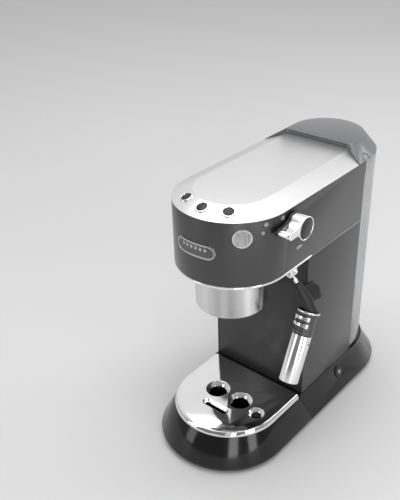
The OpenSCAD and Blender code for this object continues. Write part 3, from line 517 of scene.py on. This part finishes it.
BLACK_GLOSS = Moulding("black_gloss", (0.006, 0.006, 0.0065), 0.13, 700.0, 0.000002, 0.15, 1.4)
BLACK_SATIN = Moulding("black_satin", (0.014, 0.014, 0.015), 0.42, 1400.0, 0.000012)
COLUMN_GLOSS = Moulding("column_gloss", (0.026, 0.026, 0.028), 0.38, 800.0, 0.000002, 0.05, 1.45)
OFF_WHITE = Moulding("off_white_plastic", (0.72, 0.72, 0.68), 0.4)
COLLAR_GREY = Moulding("collar_grey", (0.05, 0.05, 0.053), 0.34, 900.0, 0.000004, 0.1)
LID_GREY = Paint("lid_grey", (0.14, 0.143, 0.15), 0.3, 1800.0, 0.35)
BODY_PAINT = Paint("body_paint", (0.066, 0.066, 0.068), 0.38)
STRIP_PAINT = Paint("strip_paint", (0.2, 0.2, 0.205), 0.36)
CHROME = Polished("bright_chrome", (0.9, 0.9, 0.9), 0.06)
STEEL_MIRROR = Polished("mirror_steel", (0.84, 0.84, 0.84), 0.07, 90.0)
TOP_STEEL = Brushed("warmer_steel", (0.76, 0.76, 0.76), 0.34, Run.ALONG_Y)
# The group ring's colour carries painted reflection streaks.
RING_STEEL = ReflectionStreaked("group_steel", (0.8, 0.8, 0.8), 0.17)
SLEEVE_STEEL = Brushed("sleeve_steel", (0.88, 0.88, 0.88), 0.16, Run.ALONG_Z, 0.0000006)
PLAIN_STEEL = Brushed("plain_steel", (0.6, 0.6, 0.61), 0.34, Run.ALONG_Z)
CAST_ALLOY = Cast("cast_alloy", (0.55, 0.56, 0.57), 0.45)
GALVANISED = Cast("galvanised_sheet", (0.5, 0.51, 0.53), 0.4, 180.0, 0.00001)
BRASS = Cast("turned_brass", (0.66, 0.47, 0.2), 0.3, 300.0, 0.000006)
BLACK_RUBBER = Rubbery("black_rubber", (0.018, 0.018, 0.018), 0.62)
GRIP_RUBBER = Rubbery("grip_rubber", (0.004, 0.004, 0.0042), 0.5, 1500.0, 0.0)
SELECTOR_STEEL = Brushed("selector_steel", (0.85, 0.85, 0.85), 0.2, Run.ALONG_Z, 0.0000003)
SILICONE = Rubbery("silicone_hose", (0.6, 0.6, 0.58), 0.4)
TANK_CLEAR = Clear("tank_clear", (0.78, 0.79, 0.8), 0.16)
BUTTON_LENS = Moulding("button_lens", (0.008, 0.008, 0.009), 0.2, 900.0, 0.000001, 0.1, 1.4)
GREEN_BOARD = Board("circuit_board", (0.02, 0.1, 0.045), 0.4)
BADGE_FIELD = Paint("badge_field", (0.09, 0.09, 0.095), 0.34, 2200.0, 0.4)
BADGE_BAR = Cast("badge_bar", (0.5, 0.5, 0.5), 0.3, 900.0, 0.000003)
LABEL_PAPER = Print("label_paper", (0.55, 0.55, 0.55), 0.35)
LABEL_FIELD = Print("label_field", (0.36, 0.36, 0.36), 0.4)
MARK_INK = Print("mark_ink", (0.3, 0.3, 0.3), 0.4)

FINISHES: dict[str, Finish] = {
    "base_shell": BLACK_GLOSS, "drip_tray": BLACK_GLOSS, "base_plate": BLACK_SATIN,
    "rubber_feet": BLACK_RUBBER, "base_screws": PLAIN_STEEL, "cup_plate": STEEL_MIRROR,
    "level_float": BLACK_SATIN, "power_button": BLACK_SATIN, "power_switch": BLACK_SATIN,
    "cord_gland": BLACK_RUBBER, "inner_frame": GALVANISED, "column_front": COLUMN_GLOSS,
    "side_panel_right": BODY_PAINT, "side_panel_left": BODY_PAINT, "rear_panel": BLACK_SATIN,
    "head_shell": BODY_PAINT, "head_trim": CHROME, "seam_strips": STRIP_PAINT,
    "head_floor": BLACK_SATIN, "cup_warmer": TOP_STEEL, "name_badge": BADGE_BAR,
    "round_badge": LABEL_PAPER, "button_rings": CHROME,
    "button_left": BUTTON_LENS, "button_middle": BUTTON_LENS, "button_right": BUTTON_LENS,
    "button_board": GREEN_BOARD, "control_board": GREEN_BOARD, "group_ring": RING_STEEL,
    "group_head": CAST_ALLOY, "group_gasket": BLACK_RUBBER, "shower_screen": PLAIN_STEEL,
    "shower_screw": PLAIN_STEEL, "group_bolts": PLAIN_STEEL, "boiler": CAST_ALLOY,
    "boiler_sensor": BLACK_SATIN, "relief_valve": BRASS, "pump": GALVANISED,
    "pump_mounts": BLACK_RUBBER,
    "flow_meter": OFF_WHITE, "water_hoses": SILICONE, "steam_tap": BRASS, "steam_line": SILICONE,
    "dial_ring": BLACK_GLOSS, "dial_spindle": BRASS, "dial_base": BLACK_GLOSS, "dial_lever": CHROME,
    "dial_cap": BLACK_GLOSS, "wand_socket": BRASS, "wand_swivel": CHROME, "wand_pin": PLAIN_STEEL,
    "wand_pipe": CHROME, "wand_grip": GRIP_RUBBER, "frother_collar": COLLAR_GREY,
    "selector_ring": SELECTOR_STEEL, "frother_nozzle": OFF_WHITE, "frother_sleeve": SLEEVE_STEEL,
    "water_tank": TANK_CLEAR, "tank_seat": BLACK_SATIN, "tank_lid": LID_GREY,
}


# ------------------------------------------------------------------ the workbench


class Piece:
    """A piece in the making, shaped with Blender's own edit tools."""

    # A tile's corners as a share of its shorter side, and its edges as a share of its thickness
    CORNER = 0.45
    EDGE = 0.2
    # Points nearer than this are one, on a turned body and on a node's copy, in millimetres
    WELD = 0.02
    FINE_WELD = 0.002
    # Faces that bend less than this are joined, in degrees
    FLAT = 0.6

    def __init__(self, thing: bpy.types.Object) -> None:
        """Takes the object in hand.

        Args:
            thing: The object to shape.
        """
        self.thing = thing

    @staticmethod
    def nothing_selected() -> None:
        """Leaves edit mode and deselects everything."""
        if bpy.context.object and bpy.context.object.mode != "OBJECT":
            bpy.ops.object.mode_set(mode="OBJECT")
        bpy.ops.object.select_all(action="DESELECT")

    @classmethod
    def turned(cls, name: str, rings: Sequence[tuple[float, float]], sides: int = 96,
               closed: bool = False) -> "Piece":
        """A body turned about Z from rings.

        Args:
            name: The piece's name.
            rings: Pairs of height and radius in millimetres, in order along the outline.
            sides: Number of sides.
            closed: True if the last ring joins the first.

        Returns:
            The piece, with its axis on Z.
        """
        cls.nothing_selected()
        height, radius = rings[0]
        bpy.ops.mesh.primitive_circle_add(vertices=sides, radius=radius * MM,
                                          location=(0, 0, height * MM))
        piece = cls(bpy.context.object)
        piece.thing.name = piece.thing.data.name = name
        bpy.ops.object.transform_apply()
        bpy.ops.object.mode_set(mode="EDIT")
        bpy.ops.mesh.select_all(action="SELECT")
        for (low, inner), (high, outer) in zip(rings, rings[1:]):
            rise = (0, 0, (high - low) * MM)
            bpy.ops.mesh.extrude_region_move(TRANSFORM_OT_translate={"value": rise})
            grow = outer / inner
            bpy.ops.transform.resize(value=(grow, grow, 1), center_override=(0, 0, high * MM))
        bpy.ops.mesh.select_all(action="SELECT")
        if closed:
            bpy.ops.mesh.remove_doubles(threshold=cls.WELD * MM)
        bpy.ops.mesh.normals_make_consistent(inside=False)
        bpy.ops.object.mode_set(mode="OBJECT")
        return piece

    @classmethod
    def copied(cls, node: str, name: str) -> "Piece":
        """A working copy of a node of the frame, with its loose triangles joined.

        Args:
            node: The frame's node.
            name: The piece's name.

        Returns:
            The copy, free of its parent.
        """
        cls.nothing_selected()
        source = frame["nodes"][node]
        source.select_set(True)
        bpy.context.view_layer.objects.active = source
        bpy.ops.object.duplicate()
        piece = cls(bpy.context.object)
        piece.thing.name = piece.thing.data.name = name
        piece.thing.parent = None
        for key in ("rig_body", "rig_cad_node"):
            del piece.thing[key]
        bpy.ops.object.mode_set(mode="EDIT")
        bpy.ops.mesh.select_all(action="SELECT")
        bpy.ops.mesh.remove_doubles(threshold=cls.FINE_WELD * MM)
        bpy.ops.mesh.dissolve_limited(angle_limit=math.radians(cls.FLAT))
        bpy.ops.object.mode_set(mode="OBJECT")
        return piece

    @classmethod
    def tile(cls, name: str, width: float, height: float, depth: float) -> "Piece":
        """A small raised tile with rounded corners, lying on its Z axis.

        Args:
            name: Its name.
            width: Width in millimetres.
            height: Height in millimetres.
            depth: Thickness in millimetres.

        Returns:
            The tile.
        """
        cls.nothing_selected()
        bpy.ops.mesh.primitive_cube_add(size=1.0)
        tile = cls(bpy.context.object)
        tile.thing.name = tile.thing.data.name = name
        tile.thing.scale = (width * MM, height * MM, depth * MM)
        bpy.ops.object.transform_apply(location=False, rotation=False, scale=True)
        bpy.ops.object.mode_set(mode="EDIT")
        bpy.ops.mesh.select_mode(type="EDGE")
        mesh = bmesh.from_edit_mesh(tile.thing.data)
        for edge in mesh.edges:
            first, last = edge.verts
            edge.select_set(abs(first.co.z - last.co.z) > depth * MM / 2)
        bmesh.update_edit_mesh(tile.thing.data)
        bpy.ops.mesh.bevel(offset=cls.CORNER * min(width, height) * MM, segments=6, affect="EDGES")
        bpy.ops.mesh.select_mode(type="VERT")
        bpy.ops.object.mode_set(mode="OBJECT")
        return tile.soften(cls.EDGE * depth, 60.0, 2)

    def in_hand(self) -> None:
        """Makes this piece the only one selected, and active."""
        self.nothing_selected()
        self.thing.select_set(True)
        bpy.context.view_layer.objects.active = self.thing

    def pick(self, test: VertexTest) -> None:
        """Selects in edit mode the vertices that pass a test, and the edges and faces between them.

        Args:
            test: Says whether a vertex is wanted.
        """
        mesh = bmesh.from_edit_mesh(self.thing.data)
        bpy.ops.mesh.select_all(action="DESELECT")
        for vertex in mesh.verts:
            vertex.select_set(test(vertex))
        mesh.select_flush(True)
        bmesh.update_edit_mesh(self.thing.data)

    def modify(self, kind: str, **settings: object) -> "Piece":
        """Adds a modifier and applies it.

        Args:
            kind: The modifier's type.
            settings: Its settings.

        Returns:
            The piece.
        """
        self.in_hand()
        modifier = self.thing.modifiers.new(kind.lower(), kind)
        for key, value in settings.items():
            setattr(modifier, key, value)
        bpy.ops.object.modifier_apply(modifier=modifier.name)
        return self

    def soften(self, width: float, angle: float = 40.0, segments: int = 3) -> "Piece":
        """Rounds the sharp edges.

        Args:
            width: Width of the rounding in millimetres.
            angle: Edges sharper than this are rounded, in degrees.
            segments: Steps across the rounding.

        Returns:
            The piece.
        """
        self.modify("BEVEL", width=width * MM, segments=segments, limit_method="ANGLE",
                    angle_limit=math.radians(angle), harden_normals=False, use_clamp_overlap=True,
                    miter_outer="MITER_ARC")
        return self.smooth()

    def smooth(self, angle: float = 38.0) -> "Piece":
        """Shades the piece smooth except across sharp edges.

        Args:
            angle: Edges sharper than this stay sharp, in degrees.

        Returns:
            The piece.
        """
        self.in_hand()
        bpy.ops.object.shade_smooth_by_angle(angle=math.radians(angle))
        return self

    def moved(self, place: Matrix) -> "Piece":
        """Puts the piece in place and applies it, so that the place is in its mesh.

        Args:
            place: Where the piece goes, in metres.

        Returns:
            The piece.
        """
        self.in_hand()
        self.thing.matrix_world = place
        bpy.ops.object.transform_apply(location=True, rotation=True, scale=True)
        return self

    def copy(self, name: str) -> "Piece":
        """A second piece with its own mesh.

        Args:
            name: The copy's name.

        Returns:
            The copy.
        """
        self.in_hand()
        bpy.ops.object.duplicate(linked=False)
        twin = Piece(bpy.context.object)
        twin.thing.name = twin.thing.data.name = name
        return twin

    def recess(self, test: VertexTest, rim: float, depth: float) -> "Piece":
        """Sinks the field inside a rim, and marks the field for a second finish.

        Args:
            test: Says whether a vertex belongs to the face that is sunk.
            rim: Width of the rim that stays, in millimetres.
            depth: Depth of the field in millimetres.

        Returns:
            The piece.
        """
        self.in_hand()
        bpy.ops.object.mode_set(mode="EDIT")
        bpy.ops.mesh.select_mode(type="VERT")
        self.pick(test)
        bpy.ops.mesh.select_mode(type="FACE")
        bpy.ops.mesh.inset(thickness=rim * MM, use_boundary=True)
        bpy.ops.mesh.extrude_region_shrink_fatten(TRANSFORM_OT_shrink_fatten={"value": -depth * MM})
        mesh = bmesh.from_edit_mesh(self.thing.data)
        for face in mesh.faces:
            face.material_index = int(face.select)
        bmesh.update_edit_mesh(self.thing.data)
        bpy.ops.mesh.select_mode(type="VERT")
        bpy.ops.object.mode_set(mode="OBJECT")
        return self

    def finished(self, finish: Finish, body: str, *nodes: str,
                 inlay: Finish | None = None) -> "Piece":
        """Dresses the piece, hangs it on its body and hides the frame's nodes that it replaces.

        Args:
            finish: Its surface.
            body: The body that it rides on.
            nodes: The frame's nodes that it replaces, which are hidden.
            inlay: Surface of the faces marked by recess.

        Returns:
            The piece.
        """
        mesh = self.thing.data
        marked = [face.material_index for face in mesh.polygons]
        mesh.materials.clear()
        mesh.materials.append(finish.material())
        if inlay:
            mesh.materials.append(inlay.material())
            mesh.polygons.foreach_set("material_index", marked)
        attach(self.thing, body)
        if nodes:
            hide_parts(*nodes)
        LOG.info("piece %s on %s: %d faces", self.thing.name, body, len(self.thing.data.polygons))
        return self


def body_of(node: str) -> str:
    """The body that a node of the frame belongs to."""
    return frame["nodes"][node]["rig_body"]


def centre_of(node: str) -> Vector:
    """The middle of a node's box, in metres."""
    low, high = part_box(node)
    return (low + high) / 2


@dataclass(frozen=True)
class Softened:
    """A node that is shown as its own shape with rounded edges."""

    node: str
    width: float
    angle: float = 40.0
    segments: int = 3

    def make(self) -> Piece:
        """Copies the node, rounds it and dresses it.

        Returns:
            The piece that is shown in the node's place.
        """
        piece = Piece.copied(self.node, self.node + "_skin")
        piece.soften(self.width, self.angle, self.segments)
        return piece.finished(FINISHES[self.node], body_of(self.node), self.node)


@dataclass(frozen=True)
class Casings:
    """The shells of the base, the column and the head."""

    rounded: tuple[Softened, ...] = (
        Softened("base_shell", 0.7), Softened("drip_tray", 0.7), Softened("cup_plate", 0.5, 28.0),
        Softened("column_front", 0.5), Softened("side_panel_right", 0.35),
        Softened("side_panel_left", 0.35),
        Softened("head_shell", 0.35), Softened("head_trim", 0.5), Softened("seam_strips", 0.3),
        Softened("head_floor", 0.4), Softened("cup_warmer", 0.7, 12.0), Softened("cord_gland", 0.6),
        Softened("rear_panel", 0.3), Softened("rubber_feet", 0.8),
    )

    def build(self) -> None:
        """Makes every casing."""
        for item in self.rounded:
            item.make()


@dataclass(frozen=True)
class Mark:
    """A small plain mark on the head's front.

    Attributes:
        angle: Degrees from straight ahead towards the steam wand.
        height: Height of its middle in millimetres.
        wide: Its width in millimetres.
        tall: Its height in millimetres.
    """

    angle: float
    height: float
    wide: float
    tall: float


@dataclass(frozen=True)
class Controls:
    """Buttons, badges and the steam dial."""

    rounded: tuple[Softened, ...] = (
        Softened("button_rings", 0.45), Softened("button_left", 0.9, 40.0, 4),
        Softened("button_middle", 0.9, 40.0, 4), Softened("button_right", 0.9, 40.0, 4),
        Softened("power_button", 0.6), Softened("dial_ring", 0.3), Softened("dial_base", 0.5),
        Softened("dial_lever", 1.3, 35.0, 4), Softened("dial_cap", 0.3),
    )

    # The name badge: height of its middle, how far its face stands off the head at least, width of
    # its rim and depth of its field
    badge_z: float = 257.5
    badge_proud: float = 0.7
    badge_rim: float = 1.9
    badge_depth: float = 0.45
    # Its blank bars: how many, degrees from one to the next, distance off the head, and size
    bars: int = 6
    bar_pitch: float = 4.9
    bar_out: float = 0.5
    bar_size: Point = (2.8, 3.6, 0.3)
    # The round label's face, rim and sunk ring, as on the badge
    label_proud: float = 0.3
    label_rim: float = 1.6
    label_depth: float = 0.12
    # The marks: thickness, distance off the head, and what stands where
    mark_depth: float = 0.12
    mark_gap: float = 0.02
    marks: tuple[Mark, ...] = (
        Mark(86.0, 284.0, 4.6, 4.2), Mark(67.0, 283.5, 4.2, 4.2), Mark(64.0, 275.5, 3.6, 3.6),
    )
    # The mark below the dial, on the head's flat side: along the depth, height, width and height
    side_mark: tuple[float, float, float, float] = (-50.0, 240.0, 9.0, 3.4)
    # The power button: its mark's diameter, the lean of the base's flank in degrees, the middle of
    # the button's hole in that flank, and how far the button's face stands out
    power_mark: float = 4.6
    flank: float = 24.1
    power_face: Point = (65.53, 42.0, 27.0)
    power_out: float = 1.22

    def on_head(self, angle: float, height: float, out: float = 0.0) -> Matrix:
        """A place on the round front of the head, facing outwards along its Z axis.

        Args:
            angle: Degrees from straight ahead towards the steam wand.
            height: Height in millimetres.
            out: Distance off the surface in millimetres.

        Returns:
            The place.
        """
        turn = Matrix.Rotation(math.radians(angle), 4, "Z")
        middle = Matrix.Translation((0, HEAD_MIDDLE * MM, height * MM))
        return middle @ turn @ Matrix.Translation((0, -(HEAD_RADIUS + out) * MM, 0)) @ FACING_FRONT

    @staticmethod
    def off_head(out: float) -> VertexTest:
        """A test for vertices that stand further off the head than this, in millimetres."""
        limit = (HEAD_RADIUS + out) * MM
        return lambda vertex: math.hypot(vertex.co.x, vertex.co.y - HEAD_MIDDLE * MM) > limit

    def name_badge(self) -> None:
        """The name badge: a bright rim, a sunk dark field and blank raised bars."""
        plate = Piece.copied("name_badge", "name_badge_skin")
        plate.recess(self.off_head(self.badge_proud), self.badge_rim, self.badge_depth).smooth(30.0)
        body = body_of("name_badge")
        plate.finished(FINISHES["name_badge"], body, "name_badge", inlay=BADGE_FIELD)
        bar = Piece.tile("badge_bar_1", *self.bar_size)
        rest = [bar.copy(f"badge_bar_{number}") for number in range(2, self.bars + 1)]
        for place, item in enumerate([bar, *rest]):
            angle = (place - (self.bars - 1) / 2) * self.bar_pitch
            item.moved(self.on_head(angle, self.badge_z, self.bar_out)).finished(BADGE_BAR, body)

    def round_badge(self) -> None:
        """The round label: a pale disc, sunk inside its rim."""
        disc = Piece.copied("round_badge", "round_badge_skin")
        disc.recess(self.off_head(self.label_proud), self.label_rim, self.label_depth).smooth(30.0)
        body = body_of("round_badge")
        disc.finished(FINISHES["round_badge"], body, "round_badge", inlay=LABEL_FIELD)

    def printed_marks(self) -> None:
        """Small plain marks printed round the dial, under it and on the power button."""
        head = body_of("head_shell")
        for number, mark in enumerate(self.marks, 1):
            tile = Piece.tile(f"dial_mark_{number}", mark.wide, mark.tall, self.mark_depth)
            tile.moved(self.on_head(mark.angle, mark.height, self.mark_gap))
            tile.finished(MARK_INK, head)
        along, height, wide, tall = self.side_mark
        pill = Piece.tile("steam_mark", wide, tall, self.mark_depth)
        side = Matrix.Translation(((HEAD_RADIUS + self.mark_gap) * MM, along * MM, height * MM))
        turn = Matrix.Rotation(math.pi / 2, 4, "Z")
        pill.moved(side @ turn @ FACING_FRONT).finished(MARK_INK, head)
        dot = Piece.tile("power_mark", self.power_mark, self.power_mark, self.mark_depth)
        flank = Matrix.Rotation(math.radians(90 - self.flank), 4, "Y")
        face = Matrix.Translation(Vector(self.power_face) * MM)
        out = Matrix.Translation((0, 0, self.power_out * MM))
        dot.moved(face @ flank @ out).finished(MARK_INK, body_of("power_button"))

    def build(self) -> None:
        """Makes every control."""
        for item in self.rounded:
            item.make()
        self.name_badge()
        self.round_badge()
        self.printed_marks()


@dataclass(frozen=True)
class Group:
    """The brewing group under the head."""

    rounded: tuple[Softened, ...] = (
        Softened("group_head", 0.5), Softened("group_gasket", 0.5),
        Softened("shower_screen", 0.25), Softened("shower_screw", 0.4),
    )
    # Outline of the bright ring from the top down the outside and back up the inside
    outline: tuple[tuple[float, float], ...] = (
        (218.5, 37.4), (214.4, 37.4), (214.2, 37.05), (213.5, 37.05), (213.3, 37.4), (190.0, 37.4),
        (171.3, 37.4), (170.5, 37.3), (169.9, 36.9), (169.5, 36.2), (169.5, 34.4), (169.8, 34.15),
        (170.9, 34.15), (170.9, 35.6), (190.0, 35.6), (218.5, 35.6), (218.5, 37.4),
    )

    def build(self) -> None:
        """Makes the group's pieces."""
        for item in self.rounded:
            item.make()
        ring = Piece.turned("group_ring_skin", self.outline, 128, closed=True)
        ring.moved(Matrix.Translation((0, centre_of("group_ring").y, 0))).smooth(35.0)
        ring.finished(FINISHES["group_ring"], body_of("group_ring"), "group_ring")


@dataclass(frozen=True)
class SteamSide:
    """The wand and its frother."""

    rounded: tuple[Softened, ...] = (
        Softened("wand_swivel", 0.4), Softened("wand_pin", 0.2), Softened("wand_pipe", 0.3),
        Softened("frother_collar", 0.5), Softened("selector_ring", 0.5),
        Softened("frother_nozzle", 0.3), Softened("frother_sleeve", 0.35),
        Softened("wand_grip", 0.3),
    )
    # The wand's knee and how far the frother leans forward, in millimetres and degrees
    knee: Point = (71.0, -40.1, 167.0)
    lean: float = 25.0
    # Outline of the bright ring round the collar's top edge
    outline: tuple[tuple[float, float], ...] = (
        (0.0, 11.4), (0.2, 12.0), (0.8, 12.4), (1.6, 12.4),
        (2.1, 12.1), (2.1, 10.4), (0.0, 10.4), (0.0, 11.4),
    )
    # Distance of that ring below the knee
    ring_drop: float = 4.9

    def along(self, distance: float) -> Matrix:
        """A place on the frother's axis.

        Args:
            distance: Distance down from the knee in millimetres.

        Returns:
            The place, with its Z axis pointing up along the frother.
        """
        knee = Matrix.Translation(Vector(self.knee) * MM)
        tilt = Matrix.Rotation(math.radians(-self.lean), 4, "X")
        return knee @ tilt @ Matrix.Translation((0, 0, -distance * MM))

    def build(self) -> None:
        """Makes the wand's pieces."""
        for item in self.rounded:
            item.make()
        ring = Piece.turned("collar_ring", self.outline, 96, closed=True)
        ring.moved(self.along(self.ring_drop)).smooth(35.0)
        ring.finished(CHROME, body_of("frother_collar"))


@dataclass(frozen=True)
class Tank:
    """The water tank and its lid."""

    rounded: tuple[Softened, ...] = (
        Softened("water_tank", 0.5), Softened("tank_lid", 0.6, 24.0), Softened("tank_seat", 0.5),
    )

    # The painted shade lines on the lid's front face, flat dark strips: their heights, the place of
    # that face along the depth, and their size
    painted_shade_lines: tuple[float, float] = (299.0, 301.4)
    face_y: float = 70.97
    painted_shade_line_size: Point = (76.0, 1.0, 0.14)

    def build(self) -> None:
        """Makes the tank's pieces and the painted shade lines on the lid's front face, as flat dark
        strips.
        """
        for item in self.rounded:
            item.make()
        # Painted shade: two flat dark strips stand for the dark lines of shade across the lid's
        # front face.
        painted_shade_line = Piece.tile("lid_shade_line_1", *self.painted_shade_line_size)
        for height, item in zip(self.painted_shade_lines, (painted_shade_line, painted_shade_line.copy("lid_shade_line_2"))):
            item.moved(Matrix.Translation((0, self.face_y * MM, height * MM)) @ FACING_FRONT)
            item.finished(BLACK_SATIN, body_of("tank_lid"))


def dress_frame() -> None:
    """Gives every node of the frame that still shows its finish."""
    for name, node in frame["nodes"].items():
        material = FINISHES[name].material()
        if node.material_slots:
            for place in node.material_slots:
                place.material = material
        else:
            node.data.materials.append(material)
    LOG.info("dressed %d nodes of the frame", len(frame["nodes"]))


@dataclass(frozen=True)
class Studio:
    """Camera, lights and floor."""

    # The tall lamps: turn and rise in degrees and power in watts of each, then their distance from
    # and the height of the point they face, and their width and height, all in metres
    strips: dict[str, tuple[float, float, float]] = field(default_factory=lambda: {
        "strip_right": (-14.0, 15.0, 7.0), "strip_rear": (64.0, 24.0, 5.0),
        "strip_front": (-46.0, 13.0, 7.5), "strip_left": (-118.0, 18.0, 4.0),
    })
    strip_distance: float = 1.6
    strip_aim: float = 0.15
    strip_size: tuple[float, float] = (0.4, 1.2)
    # The wide lamp above: its place, the point it faces, its size and its power
    top_place: Point = (-0.1, 0.2, 2.0)
    top_aim: Point = (0.0, 0.0, 0.1)
    top_size: tuple[float, float] = (2.0, 2.0)
    top_power: float = 23.0
    # The camera: its place, its right and its up, lens and sensor width in millimetres
    eye: Point = (0.3971, -0.5746, 0.5968)
    right: Point = (0.7584, 0.6511, -0.0287)
    up: Point = (-0.3079, 0.3968, 0.8647)
    lens: float = 52.4
    sensor: float = 36.0
    # The surroundings: the bright direction, and how the strength runs from dim to bright along it
    bright_way: Point = (-0.49, 0.70, 0.52)
    bright_range: tuple[float, float] = (-0.4, 0.95)
    air_range: tuple[float, float] = (0.2, 0.92)
    air_color: Point = (0.94, 0.94, 0.94)
    floor_width: float = 40.0
    floor_color: Point = (0.62, 0.62, 0.62)

    def camera(self) -> None:
        """Places the camera."""
        data = bpy.data.cameras.new("camera")
        data.lens, data.sensor_width = self.lens, self.sensor
        data.clip_start, data.clip_end = 0.01, 20.0
        camera = bpy.data.objects.new("camera", data)
        bpy.context.scene.collection.objects.link(camera)
        right, up = Vector(self.right).normalized(), Vector(self.up).normalized()
        back = right.cross(up).normalized()
        turn = Matrix((right, up, back)).transposed().to_4x4()
        camera.matrix_world = Matrix.Translation(self.eye) @ turn
        bpy.context.scene.camera = camera

    @staticmethod
    def surface(name: str, color: Point, roughness: float) -> bpy.types.Material:
        """A plain surface for the floor.

        Args:
            name: The material's name.
            color: Its colour.
            roughness: Its roughness.

        Returns:
            The material.
        """
        graph = Graph(name)
        cloud = graph.noise(3.0, 3.0)
        graph.set(Base_Color=graph.tint(cloud, shaded(color, 0.98), color), Roughness=roughness)
        return graph.material

    def stage(self) -> None:
        """Makes the floor."""
        Piece.nothing_selected()
        bpy.ops.mesh.primitive_plane_add(size=self.floor_width, location=(0, 0, 0))
        floor = bpy.context.object
        floor.name = "floor"
        floor.data.materials.append(self.surface("floor_paint", self.floor_color, 0.5))

    @staticmethod
    def lamp(name: str, place: Point, aim: Point, size: tuple[float, float], power: float) -> None:
        """Adds one soft lamp.

        Args:
            name: Its name.
            place: Where it hangs, in metres.
            aim: The point it faces.
            size: Its width and height in metres.
            power: Its power in watts.
        """
        data = bpy.data.lights.new(name, "AREA")
        data.shape, data.size, data.size_y, data.energy = "RECTANGLE", size[0], size[1], power
        lamp = bpy.data.objects.new(name, data)
        bpy.context.scene.collection.objects.link(lamp)
        way = Vector(aim) - Vector(place)
        turn = way.to_track_quat("-Z", "Y").to_matrix().to_4x4()
        lamp.matrix_world = Matrix.Translation(place) @ turn

    def air(self) -> None:
        """Sets the surroundings: bright behind the machine, dim on the side of the viewer."""
        world = bpy.data.worlds.new("studio_air")
        bpy.context.scene.world = world
        world.use_nodes = True
        tree = world.node_tree
        way = tree.nodes.new("ShaderNodeTexCoord")
        along = tree.nodes.new("ShaderNodeVectorMath")
        along.operation = "DOT_PRODUCT"
        along.inputs[1].default_value = self.bright_way
        strength = tree.nodes.new("ShaderNodeMapRange")
        values = (*self.bright_range, *self.air_range)
        for socket, value in zip(("From Min", "From Max", "To Min", "To Max"), values):
            strength.inputs[socket].default_value = value
        tree.links.new(way.outputs["Generated"], along.inputs[0])
        tree.links.new(along.outputs["Value"], strength.inputs["Value"])
        tree.links.new(strength.outputs["Result"], tree.nodes["Background"].inputs["Strength"])
        tree.nodes["Background"].inputs["Color"].default_value = (*self.air_color, 1.0)

    def lights(self) -> None:
        """Hangs the lamps: a wide one above and four tall ones round the sides."""
        self.lamp("softbox_top", self.top_place, self.top_aim, self.top_size, self.top_power)
        for name, (turn, rise, power) in self.strips.items():
            angle, lift = math.radians(turn), math.radians(rise)
            level = self.strip_distance * math.cos(lift)
            place = (level * math.cos(angle), level * math.sin(angle),
                     self.strip_aim + self.strip_distance * math.sin(lift))
            self.lamp(name, place, (0, 0, self.strip_aim), self.strip_size, power)

    def build(self) -> None:
        """Sets up the whole studio."""
        self.camera()
        self.stage()
        self.air()
        self.lights()
        bpy.context.scene.view_settings.view_transform = "Standard"


def main() -> None:
    """Builds the machine's pieces in order, then the studio round it."""
    logging.basicConfig(level=logging.INFO, format="%(name)s: %(message)s")
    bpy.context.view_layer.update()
    dress_frame()
    for part in (Casings(), Controls(), Group(), SteamSide(), Tank()):
        LOG.info("building %s", type(part).__name__)
        part.build()
    Studio().build()


if __name__ == "__main__":
    main()
